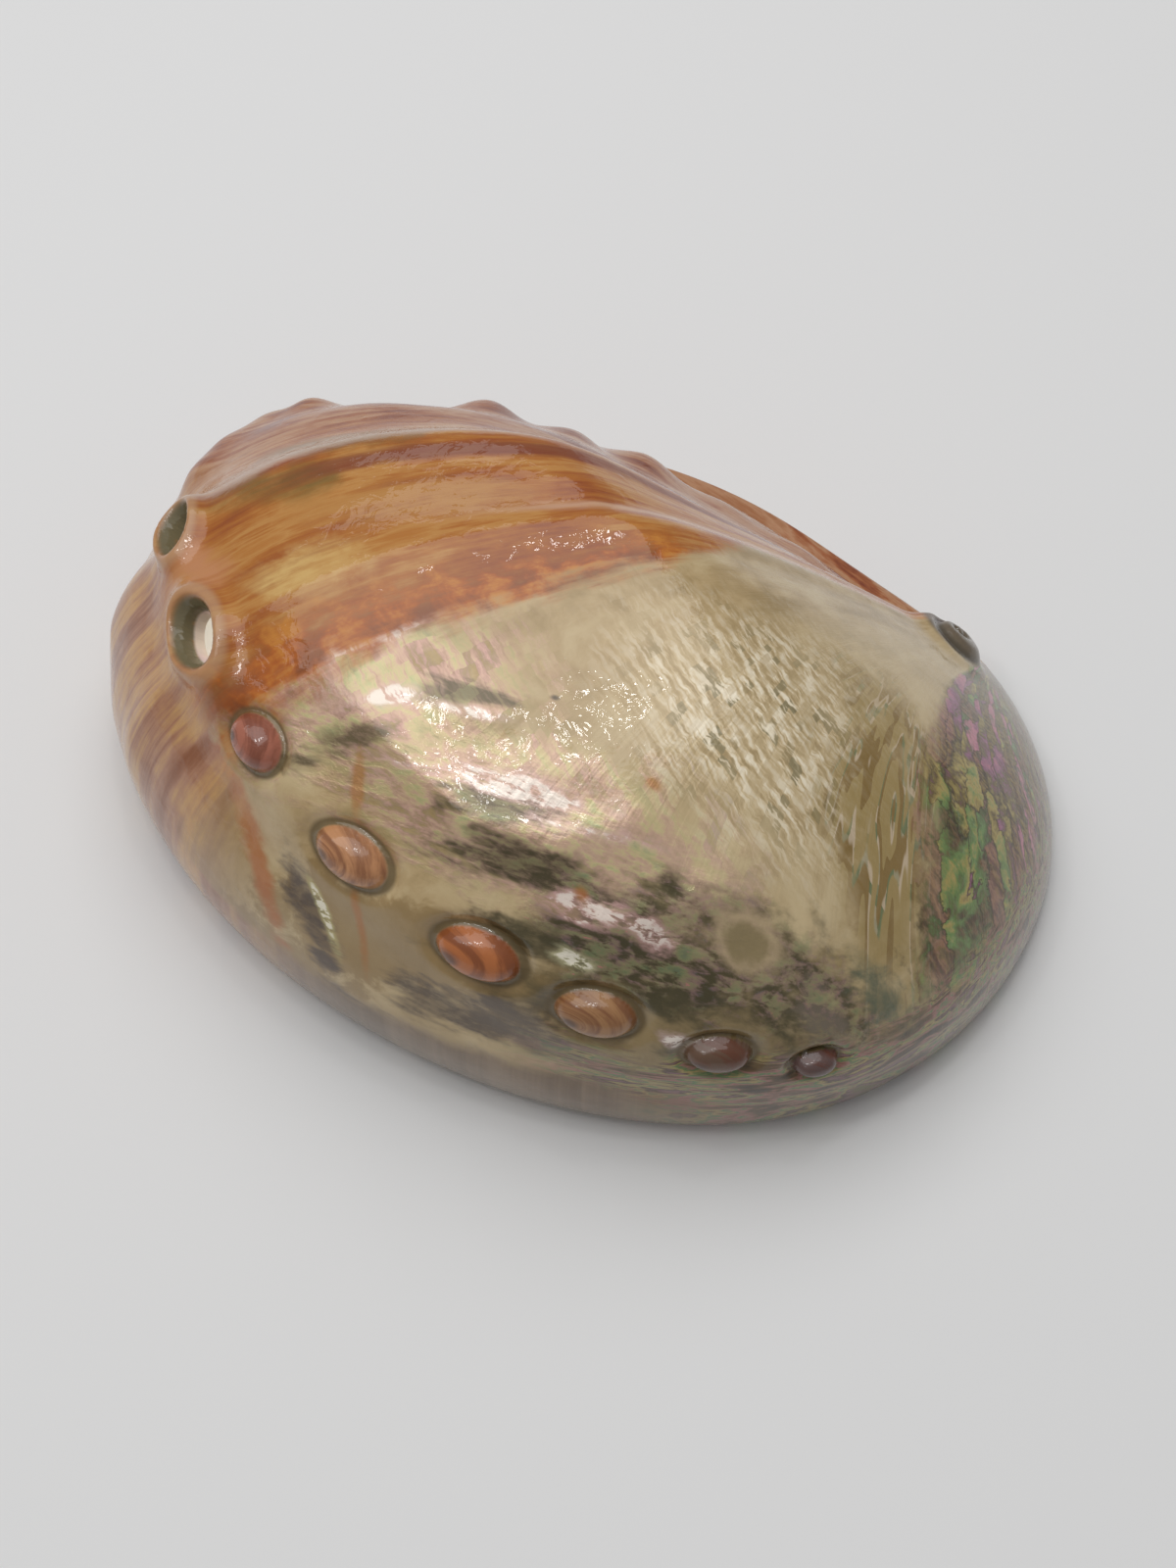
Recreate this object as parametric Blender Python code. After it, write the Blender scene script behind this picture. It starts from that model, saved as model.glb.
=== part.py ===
"""Polished abalone shell, resting on its margin with the outside up.

It grew as one piece, so the outside, the inside and the flat lip between them are one closed skin.
+Z is up, +X points to the spire end, and -Y to the flank that carries the row of holes.
"""

import math

import bmesh
import bpy
import numpy as np
from mathutils import Matrix, Vector

MM = 0.001

# Driving dimensions of the dome. Shares are of the unit disc that is stretched into the shell's outline.
HALF_LENGTH = 82.5 * MM
LEFT_HALF_WIDTH = 69 * MM
RIGHT_HALF_WIDTH = 60.5 * MM
HEIGHT = 54.5 * MM
SKEW = -9.3 * MM  # how far the right margin is set back towards the growing end
WIDER_AT_SPIRE_END = 0.03
WIDER_AT_BOTH_ENDS = 0.10
CORNER_FULLNESS = -0.01
DIAGONAL_FULLNESS = 0.03
NOTCH, NOTCH_WIDTH = 0.047, 0.295  # the outline is drawn in beside the spire
NOTCH_TURN = math.radians(59.8)
SUMMIT = (0.01, 0.11)
SPIRE = (0.68, 0.54)
SPIRE_TURN = math.radians(38.5)  # direction of the margin nearest the spire
BOX_CENTRE = (-0.17 * MM, -2.83 * MM)  # middle of the outline, which the origin stands under

# How the height falls from the summit to the margin
SUMMIT_ROUNDING = 0.3
FALL, FALL_TO_RIGHT, FALL_TO_SPIRE = 1.74, 0.68, -0.57
SHOULDER, SHOULDER_TO_RIGHT = 1.65, 0.58
TUCK = 3.8 * MM  # how far the flank with the holes turns in under itself
TUCK_BELOW = 0.5
TUCK_WIDTH = 60 * MM

# Wall
WALL = 2.6 * MM
LIP_WIDTH = 2.4 * MM
SHELF_WIDTH = 9 * MM  # flattened inner ledge along the flank with the holes
SHELF_RISE = 7  # power that keeps the ledge near the margin
FOOT_CLEARANCE = 0.3 * MM  # the inside stays this far above the ground but for the flat lip
LIP_SHARE = 0.02

# Mesh
SPOKES = 64
OUTSIDE_RINGS = 26
INSIDE_RINGS = 14
RING_CROWDING = 1.3  # more than 1 crowds the rings round the spire
COARSE_SPOT, FINE_SPOT = 12.5 * MM, 8.5 * MM  # the mesh is split once, then twice, this near to a hole
KNOB_SPOT = 7 * MM

# The row of holes: direction round the summit, reach from summit to margin, half length and half width
HOLES = [
    ("open", -158, 0.77, 4.6 * MM, 3.0 * MM),
    ("open", -139, 0.76, 5.6 * MM, 3.7 * MM),
    ("sealed", -122, 0.78, 4.8 * MM, 3.7 * MM),
    ("sealed", -105, 0.82, 6.0 * MM, 3.8 * MM),
    ("sealed", -89, 0.86, 6.2 * MM, 3.8 * MM),
    ("sealed", -76, 0.89, 5.8 * MM, 3.6 * MM),
    ("sealed", -62.5, 0.92, 4.8 * MM, 2.8 * MM),
    ("sealed", -51, 0.94, 3.4 * MM, 2.0 * MM),
]
PLUG_HEIGHT = 1.9 * MM
PLUG_ROUNDNESS = 0.6
PLUG_MOAT = 1.0 * MM
PLUG_MOAT_AT, PLUG_MOAT_WIDTH = 1.15, 0.28  # shares of the plug's own radius
OPEN_RIM_HEIGHT = 1.8 * MM
OPEN_RIM_AT, OPEN_RIM_WIDTH = 1.25, 0.45  # shares of the hole's own radius
BORE_DEPTH = 16 * MM
BORE_TAPER = 0.75

# Low relief
FAN_ACROSS, FAN_INWARD = 0.05, 0.35  # the point that growth lines fan from, beside the spire
ROW_RIDGE, ROW_RIDGE_WIDTH = 1.1 * MM, 0.05
ROW_FURROW, ROW_FURROW_OFFSET, ROW_FURROW_WIDTH = 0.9 * MM, 0.085, 0.035
ROW_FADE_AT_LIP, ROW_FADE_AT_SPIRE = 12, 20  # degrees round the summit
FOLDS = [  # angle of the growth line, height and spread of the fold
    (0.12, 0.9 * MM, 0.07),
    (0.52, 1.7 * MM, 0.09),
    (0.86, 1.0 * MM, 0.08),
    (1.14, 1.2 * MM, 0.08),
    (1.36, 1.0 * MM, 0.06),
]
FOLDS_FADE = 60 * MM  # folds reach their full height this far from the spire
FOLD_EDGE = 0.06  # and they fade over this share of the disc at the margin
FAR_SINK = 3.7 * MM  # how far the slope behind the folds lies under the dome
FAR_SINK_FROM, FAR_SINK_TO = 0.3, 0.75  # growth angles
RELIEF_EDGE = 0.03
KNOBS = [  # direction round the summit, reach, height (one is a dip) and radius
    (-178, 0.86, 1.7 * MM, 5.0 * MM),
    (172, 0.86, 1.8 * MM, 5.0 * MM),
    (162, 0.84, 2.7 * MM, 5.5 * MM),
    (156, 0.78, 2.6 * MM, 4.5 * MM),
    (134, 0.66, -1.4 * MM, 6.0 * MM),
    (121, 0.70, 3.1 * MM, 6.0 * MM),
    (104, 0.66, 2.5 * MM, 6.0 * MM),
    (90, 0.74, 2.4 * MM, 6.0 * MM),
    (76, 0.84, 1.0 * MM, 6.0 * MM),
    (62, 0.86, 1.0 * MM, 6.0 * MM),
]
COIL_RADIUS = 5.6 * MM
COIL_HEIGHT = 2.6 * MM
COIL_GROOVE = 1.3 * MM
COIL_GROWTH = 0.25  # natural log of how much the coil widens in one radian

SHELL_COLOUR = (0.46, 0.33, 0.20, 1.0)


def outline(disc_x, disc_y):
    """Stretches the unit disc into the shell's outline, seen from above."""
    fullness = 1 + CORNER_FULLNESS * 4 * (disc_x * disc_y) ** 2 + DIAGONAL_FULLNESS * 2 * disc_x * disc_y
    towards = disc_x * math.cos(NOTCH_TURN) + disc_y * math.sin(NOTCH_TURN)
    aside = disc_y * math.cos(NOTCH_TURN) - disc_x * math.sin(NOTCH_TURN)
    fullness = fullness * (1 - NOTCH * bump(aside / NOTCH_WIDTH) * np.clip(towards, 0, 1) ** 2)
    half_width = np.where(disc_y > 0, RIGHT_HALF_WIDTH, LEFT_HALF_WIDTH)
    widening = 1 + WIDER_AT_SPIRE_END * disc_x + WIDER_AT_BOTH_ENDS * (disc_x**2 - 0.5)
    x = (HALF_LENGTH * disc_x + SKEW * disc_y) * fullness
    y = half_width * disc_y * widening * fullness
    return x, y


def from_summit(disc_x, disc_y):
    """Share of the way from the summit to the margin, and the direction as cosine and sine."""
    away_x, away_y = disc_x - SUMMIT[0], disc_y - SUMMIT[1]
    distance = np.maximum(np.hypot(away_x, away_y), 1e-9)
    cosine, sine = away_x / distance, away_y / distance
    along = SUMMIT[0] * cosine + SUMMIT[1] * sine
    to_margin = -along + np.sqrt(along**2 + 1 - SUMMIT[0] ** 2 - SUMMIT[1] ** 2)
    return np.minimum(distance / to_margin, 1), cosine, sine


def disc_point(turn_degrees, reach):
    """The point of the disc in this direction from the summit, at this share of the way to the margin."""
    cosine, sine = math.cos(math.radians(turn_degrees)), math.sin(math.radians(turn_degrees))
    along = SUMMIT[0] * cosine + SUMMIT[1] * sine
    to_margin = -along + math.sqrt(along**2 + 1 - SUMMIT[0] ** 2 - SUMMIT[1] ** 2)
    return SUMMIT[0] + reach * to_margin * cosine, SUMMIT[1] + reach * to_margin * sine


def dome(disc_x, disc_y):
    """The smooth outside of the shell, without its relief."""
    disc_x, disc_y = np.asarray(disc_x, float), np.asarray(disc_y, float)
    x, y = outline(disc_x, disc_y)
    reach, cosine, sine = from_summit(disc_x, disc_y)
    rounded = np.hypot(reach, SUMMIT_ROUNDING) - SUMMIT_ROUNDING
    rounded = rounded / (math.hypot(1, SUMMIT_ROUNDING) - SUMMIT_ROUNDING)
    fall = FALL - FALL_TO_RIGHT * sine + FALL_TO_SPIRE * cosine
    shoulder = SHOULDER - SHOULDER_TO_RIGHT * sine
    z = HEIGHT * np.clip(1 - rounded**fall, 0, 1) ** (1 / shoulder)
    lowness = np.clip(1 - z / (TUCK_BELOW * HEIGHT), 0, 1)
    tuck = TUCK * lowness**2 * np.clip(0.5 - 0.8 * sine, 0, 1)
    out_x, out_y = cosine / HALF_LENGTH, sine / TUCK_WIDTH
    out_length = np.hypot(out_x, out_y)
    x = x - tuck * out_x / out_length - BOX_CENTRE[0]
    y = y - tuck * out_y / out_length - BOX_CENTRE[1]
    return np.stack([x, y, z], -1)


def dome_normals(disc_x, disc_y):
    """Outward normals of the dome, from steps of the disc too small to see."""
    step = 1e-4
    towards_centre = 1 - 2 * step / np.maximum(np.hypot(disc_x, disc_y), 2 * step)
    disc_x, disc_y = disc_x * towards_centre, disc_y * towards_centre
    across = dome(disc_x + step, disc_y) - dome(disc_x - step, disc_y)
    along = dome(disc_x, disc_y + step) - dome(disc_x, disc_y - step)
    normals = np.cross(across, along)
    return normals / np.linalg.norm(normals, axis=-1, keepdims=True)


def growth_angle(disc_x, disc_y):
    """Which growth line a point is on: 0 where the orange layer ends, rising to the far margin."""
    towards = disc_x * math.cos(SPIRE_TURN) + disc_y * math.sin(SPIRE_TURN)
    aside = disc_y * math.cos(SPIRE_TURN) - disc_x * math.sin(SPIRE_TURN)
    spread = np.maximum((1 - towards) ** 2 + aside**2, 1e-6)
    across = 2 * aside / spread
    inward = (1 - towards**2 - aside**2) / spread
    return np.arctan2(across + FAN_ACROSS, inward + FAN_INWARD)


def bump(distance):
    return np.exp(-(distance**2))


def hole_frame(turn, reach):
    """Centre, direction along the row, direction across it and outward normal, at a hole."""
    here = np.array(disc_point(turn, reach))
    before, after = (dome(*disc_point(turn + step, reach)) for step in (-3, 3))
    normal = dome_normals(here[0], here[1])
    along = after - before
    along = along - normal * (along @ normal)
    along = along / np.linalg.norm(along)
    return dome(*here), along, np.cross(normal, along), normal


def hole_relief(points):
    """Raised collars round the open holes, and a low dome in a moat for each sealed one."""
    lift = np.zeros(len(points))
    for kind, turn, reach, half_length, half_width in HOLES:
        centre, along, across, normal = hole_frame(turn, reach)
        away = points - centre
        radius = np.hypot(away @ along / half_length, away @ across / half_width)
        radius = radius + np.abs(away @ normal) / (2 * half_length)
        if kind == "open":
            lift += OPEN_RIM_HEIGHT * bump((radius - OPEN_RIM_AT) / OPEN_RIM_WIDTH)
        else:
            lift += PLUG_HEIGHT * np.clip(1 - radius**2, 0, 1) ** PLUG_ROUNDNESS
            lift -= PLUG_MOAT * bump((radius - PLUG_MOAT_AT) / PLUG_MOAT_WIDTH)
    return lift


def row_relief(disc_x, disc_y):
    """The swelling that carries the holes, and the furrow below it."""
    reach, cosine, sine = from_summit(disc_x, disc_y)
    turn = np.degrees(np.arctan2(sine, cosine))
    turns = [hole[1] for hole in HOLES]
    reaches = [hole[2] for hole in HOLES]
    row = np.interp(turn, turns, reaches)
    ends = bump(np.clip(turns[0] - turn, 0, None) / ROW_FADE_AT_LIP)
    ends = ends * bump(np.clip(turn - turns[-1], 0, None) / ROW_FADE_AT_SPIRE)
    ridge = ROW_RIDGE * bump((reach - row) / ROW_RIDGE_WIDTH)
    furrow = ROW_FURROW * bump((reach - row - ROW_FURROW_OFFSET) / ROW_FURROW_WIDTH)
    return ends * (ridge - furrow)


def far_sink(disc_x, disc_y):
    """How far the wall lies under the dome, behind the folds."""
    behind = (growth_angle(disc_x, disc_y) - FAR_SINK_FROM) / (FAR_SINK_TO - FAR_SINK_FROM)
    behind = np.clip(behind, 0, 1)
    margin = np.clip((1 - np.hypot(disc_x, disc_y)) / RELIEF_EDGE, 0, 1)
    return FAR_SINK * behind**2 * (3 - 2 * behind) * margin


def fold_relief(disc_x, disc_y, points):
    """Folds that fan out from the spire across the growing end, with knobs along them."""
    angle = growth_angle(disc_x, disc_y)
    from_spire = np.linalg.norm(points - dome(*SPIRE), axis=1)
    margin = np.clip((1 - np.hypot(disc_x, disc_y)) / FOLD_EDGE, 0, 1)
    lift = np.zeros(len(points))
    for fold, height, spread in FOLDS:
        lift += height * bump((angle - fold) / spread) * np.clip(from_spire / FOLDS_FADE, 0, 1) * margin
    for turn, reach, height, radius in KNOBS:
        distance = np.linalg.norm(points - dome(*disc_point(turn, reach)), axis=1)
        lift += height * bump(distance / radius)
    return lift


def coil_relief(points):
    """The small worn spire: a swelling with a groove that winds into its middle."""
    centre = dome(*SPIRE)
    normal = dome_normals(*SPIRE)
    away = points - centre
    along = np.cross(normal, [0, 0, 1.0])
    along = along / np.linalg.norm(along)
    across = np.cross(normal, along)
    u, v = away @ along, away @ across
    radius = np.maximum(np.hypot(u, v), 0.2 * MM)
    winding = np.arctan2(v, u) - np.log(radius / COIL_RADIUS) / COIL_GROWTH
    near = bump((radius / (1.2 * COIL_RADIUS)) ** 2)
    return near * (COIL_HEIGHT - COIL_GROOVE * (0.5 + 0.5 * np.cos(winding)) ** 3)


def outside_surface(disc_x, disc_y):
    points = dome(disc_x, disc_y)
    lift = hole_relief(points) + row_relief(disc_x, disc_y)
    lift = lift + fold_relief(disc_x, disc_y, points) + coil_relief(points)
    lift = lift * np.clip((1 - np.hypot(disc_x, disc_y)) / RELIEF_EDGE, 0, 1)
    lift = lift - far_sink(disc_x, disc_y)
    return points + dome_normals(disc_x, disc_y) * lift[:, None]


def inside_surface(disc_x, disc_y):
    """The outside moved in by the wall, which thickens to a ledge along the flank with the holes."""
    points = dome(disc_x, disc_y)
    normals = dome_normals(disc_x, disc_y)
    margin = np.hypot(disc_x, disc_y)
    flank = np.clip(0.5 - disc_y, 0, 1)
    lip = LIP_WIDTH + (SHELF_WIDTH - LIP_WIDTH) * flank
    wall = WALL + (lip - WALL) * margin**SHELF_RISE
    points = points - normals * (wall + far_sink(disc_x, disc_y))[:, None]
    points[:, 2] = np.maximum(points[:, 2], FOOT_CLEARANCE * (1 - margin) / LIP_SHARE)
    points[margin > 0.9999, 2] = 0
    return points


def spoke_point(turn, share):
    """A point of the disc on the straight line from the spire to the margin."""
    run = 1 - (1 - share**RING_CROWDING) ** 2
    return SPIRE[0] * (1 - run) + np.cos(turn) * run, SPIRE[1] * (1 - run) + np.sin(turn) * run


def ball_places(mesh):
    """Reads each vertex of the ball as a turn round its axis and a ring counted from its top."""
    places = np.array([vertex.co[:] for vertex in mesh.verts])
    places = places / np.linalg.norm(places, axis=1, keepdims=True)
    rings = OUTSIDE_RINGS + INSIDE_RINGS + 1
    ring = np.arccos(np.clip(places[:, 2], -1, 1)) / math.pi * rings
    return np.arctan2(places[:, 1], places[:, 0]), ring


def places_to_shell(turn, ring):
    """Rings from the top of the ball make the outside, and those from its foot the inside."""
    outside = ring <= OUTSIDE_RINGS + 0.01
    points = np.empty((len(ring), 3))
    share = np.minimum(ring[outside] / OUTSIDE_RINGS, 1)
    points[outside] = outside_surface(*spoke_point(turn[outside], share))
    share =(OUTSIDE_RINGS + INSIDE_RINGS + 1 - ring[~outside]) / INSIDE_RINGS
    points[~outside] = inside_surface(*spoke_point(turn[~outside], np.minimum(share, 1)))
    return points


def refine_near(mesh, centres, radius, rings_only=False):
    """Splits the outside faces that lie this near to a centre, or only adds rings to them."""
    turn, ring = ball_places(mesh)
    points = places_to_shell(turn, ring)
    near = np.zeros(len(points), bool)
    for centre in centres:
        near |= np.linalg.norm(points - centre, axis=1) < radius
    near &= ring <= OUTSIDE_RINGS - 1.5
    edges = []
    for edge in mesh.edges:
        first, second = (vertex.index for vertex in edge.verts)
        along_ring = abs(ring[first] - ring[second]) < 0.2
        if (near[first] or near[second]) and not (rings_only and along_ring):
            edges.append(edge)
    bmesh.ops.subdivide_edges(mesh, edges=edges, cuts=1, use_grid_fill=True)
    mesh.verts.index_update()


def make_skin():
    """A ball whose upper rings become the outside of the shell and its lower rings the inside."""
    mesh = bmesh.new()
    rings = OUTSIDE_RINGS + INSIDE_RINGS + 1
    bmesh.ops.create_uvsphere(mesh, u_segments=SPOKES, v_segments=rings, radius=1)
    holes = [hole_frame(turn, reach)[0] for _, turn, reach, _, _ in HOLES]
    knobs = [dome(*disc_point(turn, reach)) for turn, reach, _, _ in KNOBS]
    refine_near(mesh, holes, COARSE_SPOT)
    refine_near(mesh, knobs, KNOB_SPOT)
    refine_near(mesh, holes, FINE_SPOT)
    refine_near(mesh, [dome(*SPIRE)], COIL_RADIUS * 1.8, rings_only=True)
    turn, ring = ball_places(mesh)
    for vertex, point in zip(mesh.verts, places_to_shell(turn, ring)):
        vertex.co = point
    bmesh.ops.triangulate(mesh, faces=[face for face in mesh.faces if len(face.verts) > 4])
    mesh.normal_update()
    data = bpy.data.meshes.new("abalone_shell")
    mesh.to_mesh(data)
    mesh.free()
    return data


def make_bore(name, turn, reach, half_length, half_width, collection):
    """An oval, tapered cutter along the hole's own axis."""
    centre, along, across, normal = hole_frame(turn, reach)
    mesh = bmesh.new()
    bmesh.ops.create_cone(
        mesh, cap_ends=True, segments=20, radius1=BORE_TAPER, radius2=1 / BORE_TAPER, depth=BORE_DEPTH
    )
    axes = Matrix([along * half_length, across * half_width, normal]).transposed()
    for vertex in mesh.verts:
        vertex.co = axes @ vertex.co + Vector(centre)
    bmesh.ops.recalc_face_normals(mesh, faces=mesh.faces)
    data = bpy.data.meshes.new(name)
    mesh.to_mesh(data)
    mesh.free()
    cutter = bpy.data.objects.new(name, data)
    cutter.hide_render = True
    cutter.display_type = "WIRE"
    collection.objects.link(cutter)
    return cutter


def make_material():
    material = bpy.data.materials.new("polished_shell")
    material.use_nodes = True
    shader = material.node_tree.nodes["Principled BSDF"]
    shader.inputs["Base Color"].default_value = SHELL_COLOUR
    shader.inputs["Roughness"].default_value = 0.18
    shader.inputs["Metallic"].default_value = 0.25
    return material


def main():
    for old in list(bpy.data.objects):
        bpy.data.objects.remove(old, do_unlink=True)
    parts = bpy.data.collections.new("abalone")
    cutters = bpy.data.collections.new("cutters")
    bpy.context.scene.collection.children.link(parts)
    bpy.context.scene.collection.children.link(cutters)

    shell = bpy.data.objects.new("abalone_shell", make_skin())
    shell.data.materials.append(make_material())
    shell.data.shade_smooth()
    parts.objects.link(shell)
    open_holes = [hole[1:] for hole in HOLES if hole[0] == "open"]
    for number, hole in enumerate(open_holes, 1):
        bore = make_bore(f"bore_{number}", *hole, cutters)
        cut = shell.modifiers.new(f"bore_{number}", "BOOLEAN")
        cut.operation = "DIFFERENCE"
        cut.object = bore


main()
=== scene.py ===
"""A polished abalone shell that lies on its margin: its skin, its nacre and a pale stage around it.

Lengths are in metres. X runs to the end with the spire, -Y to the flank with the row of holes, Z up.
A place on the outside is given on a unit disc that the margin surrounds, or by its turn and reach from
the summit: a turn in degrees from +X towards +Y, and the share of the way from the summit to the margin.
"""

import math
from collections import namedtuple

import bmesh
import bpy
import numpy as np
from bpy.props import FloatProperty, FloatVectorProperty, IntProperty, PointerProperty
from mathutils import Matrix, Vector, kdtree


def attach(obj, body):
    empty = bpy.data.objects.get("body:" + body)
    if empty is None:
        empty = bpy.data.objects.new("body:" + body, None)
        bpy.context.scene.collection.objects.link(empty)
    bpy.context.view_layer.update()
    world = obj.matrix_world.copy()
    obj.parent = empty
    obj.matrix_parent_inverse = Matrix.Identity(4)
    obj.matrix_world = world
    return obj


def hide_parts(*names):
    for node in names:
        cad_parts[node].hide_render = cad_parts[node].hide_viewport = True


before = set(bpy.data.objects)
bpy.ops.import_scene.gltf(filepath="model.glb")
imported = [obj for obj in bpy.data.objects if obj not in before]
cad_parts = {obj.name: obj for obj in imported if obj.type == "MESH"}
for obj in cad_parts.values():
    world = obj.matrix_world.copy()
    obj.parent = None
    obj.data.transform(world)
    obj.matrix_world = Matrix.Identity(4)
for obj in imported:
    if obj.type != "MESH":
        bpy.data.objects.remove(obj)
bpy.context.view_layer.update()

bl_info = {
    "name": "Polished Abalone Shell",
    "version": (1, 0, 0),
    "blender": (4, 5, 0),
    "location": "3D View > Sidebar > Abalone",
    "description": "Grows a polished abalone shell and sets a pale stage for it",
    "category": "Add Mesh",
}

MM = 0.001

# The outline and the dome
SKEW = -9.3 * MM
WIDER_AT_SPIRE_END = 0.03
WIDER_AT_BOTH_ENDS = 0.10
CORNER_FULLNESS = -0.01
DIAGONAL_FULLNESS = 0.03
NOTCH, NOTCH_WIDTH = 0.047, 0.295
NOTCH_TURN = math.radians(59.8)
SUMMIT = (0.01, 0.11)
SPIRE = (0.68, 0.54)
SPIRE_TURN = math.radians(38.5)
BOX_CENTRE = (-0.17 * MM, -2.83 * MM)
SUMMIT_ROUNDING = 0.3
FALL, FALL_TO_RIGHT, FALL_TO_SPIRE = 1.74, 0.68, -0.57
SHOULDER, SHOULDER_TO_RIGHT = 1.65, 0.58
TUCK = 3.8 * MM
TUCK_BELOW = 0.5
TUCK_WIDTH = 60 * MM

# The wall, thin over the dome and wider where it meets the ground
WALL = 2.6 * MM
LIP_WIDTH = 2.4 * MM
SHELF_WIDTH = 9 * MM
SHELF_RISE = 7
MARGIN_ROUNDING = 1.1 * MM
FOOT_CLEARANCE = 0.3 * MM
LIP_SHARE = 0.02

# The mesh: columns and rows of the outside's grid, and how they crowd towards the margin
COLUMNS, ROWS = 286, 218
CROWDING = 1.5
FINE_SPOT = 3.4 * MM

# Growth: lines fan from the spire, and a growth angle of 0 is where the bare nacre begins
FAN_ACROSS, FAN_INWARD = 0.05, 0.35
BEHIND_SPREAD = 0.4

# Each hole of the row: kind, turn, reach, half length along the row and half width across it
Hole = namedtuple("Hole", "kind turn reach half_length half_width")
HOLES = [
    Hole("open", -158, 0.77, 4.6 * MM, 3.0 * MM),
    Hole("open", -139, 0.76, 5.6 * MM, 3.7 * MM),
    Hole("sealed", -122, 0.78, 4.8 * MM, 3.7 * MM),
    Hole("sealed", -105, 0.82, 6.0 * MM, 3.8 * MM),
    Hole("sealed", -89, 0.86, 6.2 * MM, 3.8 * MM),
    Hole("sealed", -76, 0.89, 5.8 * MM, 3.6 * MM),
    Hole("sealed", -62.5, 0.92, 4.8 * MM, 2.8 * MM),
    Hole("sealed", -51, 0.94, 3.4 * MM, 2.0 * MM),
]
PLUG_HEIGHT = 1.9 * MM
PLUG_ROUNDNESS = 0.6
PLUG_MOAT = 1.0 * MM
PLUG_MOAT_AT, PLUG_MOAT_WIDTH = 1.15, 0.28
OPEN_RIM_HEIGHT = 1.8 * MM
OPEN_RIM_AT, OPEN_RIM_WIDTH = 1.25, 0.45
OPEN_RIM_ROLL = 1.6 * MM
ROLL_FROM, ROLL_WIDTH = 0.85, 0.2
BORE_DEPTH = 16 * MM
BORE_TAPER = 0.75
BORE_SIDES = 40
ROW_RIDGE, ROW_RIDGE_WIDTH = 1.1 * MM, 0.05
ROW_FURROW, ROW_FURROW_OFFSET, ROW_FURROW_WIDTH = 0.9 * MM, 0.085, 0.035
ROW_FADE_AT_LIP, ROW_FADE_AT_SPIRE = 12, 20

# Folds along the growth lines: growth angle, height and spread
Fold = namedtuple("Fold", "angle height spread")
FOLDS = [
    Fold(0.12, 0.9 * MM, 0.07),
    Fold(0.52, 1.7 * MM, 0.09),
    Fold(0.86, 1.0 * MM, 0.08),
    Fold(1.14, 1.2 * MM, 0.08),
    Fold(1.36, 1.0 * MM, 0.06),
]
FOLDS_FADE = 60 * MM
FOLD_EDGE = 0.06
FAR_SINK = 3.7 * MM
FAR_SINK_FROM, FAR_SINK_TO = 0.3, 0.75
RELIEF_EDGE = 0.03

# Knobs on the far slope, and one dip between them: turn, reach, height and radius
Knob = namedtuple("Knob", "turn reach height radius")
KNOBS = [
    Knob(-178, 0.86, 1.7 * MM, 5.0 * MM),
    Knob(172, 0.86, 1.8 * MM, 5.0 * MM),
    Knob(162, 0.84, 2.7 * MM, 5.5 * MM),
    Knob(156, 0.78, 2.6 * MM, 4.5 * MM),
    Knob(134, 0.66, -1.4 * MM, 6.0 * MM),
    Knob(121, 0.70, 3.1 * MM, 6.0 * MM),
    Knob(104, 0.66, 2.5 * MM, 6.0 * MM),
    Knob(90, 0.74, 2.4 * MM, 6.0 * MM),
    Knob(76, 0.84, 1.0 * MM, 6.0 * MM),
    Knob(62, 0.86, 1.0 * MM, 6.0 * MM),
]

# Ridges of the bare nacre above the row of holes: places on the disc, height and half width
Ridge = namedtuple("Ridge", "points height width")
RIDGES = [
    Ridge([(-0.28, -0.50), (-0.20, -0.56), (-0.04, -0.64), (0.11, -0.63), (0.23, -0.53)], 0.9 * MM, 3.2 * MM),
    Ridge([(0.12, -0.76), (0.22, -0.72), (0.36, -0.61), (0.43, -0.48)], 0.8 * MM, 3.0 * MM),
    Ridge([(0.36, -0.76), (0.50, -0.64), (0.58, -0.50)], 0.6 * MM, 2.8 * MM),
    Ridge([(-0.20, -0.42), (-0.08, -0.44), (0.03, -0.40)], 0.5 * MM, 2.6 * MM),
]

# The coil at the spire
COIL_RADIUS = 5.6 * MM
COIL_HEIGHT = 2.6 * MM
COIL_GROOVE = 1.3 * MM
COIL_GROWTH = 0.25
COIL_SPREAD, COIL_END = 1.2, 4
COIL_FINE_SPOT = 1.5 * COIL_RADIUS

SHARP_EDGE = math.radians(60)


class Field:
    """A number at each point, held by a socket of a node tree, so that formulas read as they do on paper."""

    def __init__(self, tree, socket):
        self.tree = tree
        self.socket = socket

    def __add__(self, other):
        return math_node(self.tree, "ADD", self, other)

    def __radd__(self, other):
        return math_node(self.tree, "ADD", other, self)

    def __sub__(self, other):
        return math_node(self.tree, "SUBTRACT", self, other)

    def __rsub__(self, other):
        return math_node(self.tree, "SUBTRACT", other, self)

    def __mul__(self, other):
        return math_node(self.tree, "MULTIPLY", self, other)

    def __rmul__(self, other):
        return math_node(self.tree, "MULTIPLY", other, self)

    def __truediv__(self, other):
        return math_node(self.tree, "DIVIDE", self, other)

    def __rtruediv__(self, other):
        return math_node(self.tree, "DIVIDE", other, self)

    def __pow__(self, other):
        return math_node(self.tree, "POWER", self, other)

    def __neg__(self):
        return math_node(self.tree, "MULTIPLY", self, -1)


def plug_in(tree, value, socket):
    """Gives a socket its value: a field, another node's socket or a plain number or colour."""
    if isinstance(value, Field):
        tree.links.new(value.socket, socket)
    elif isinstance(value, bpy.types.NodeSocket):
        tree.links.new(value, socket)
    else:
        socket.default_value = value


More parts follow.
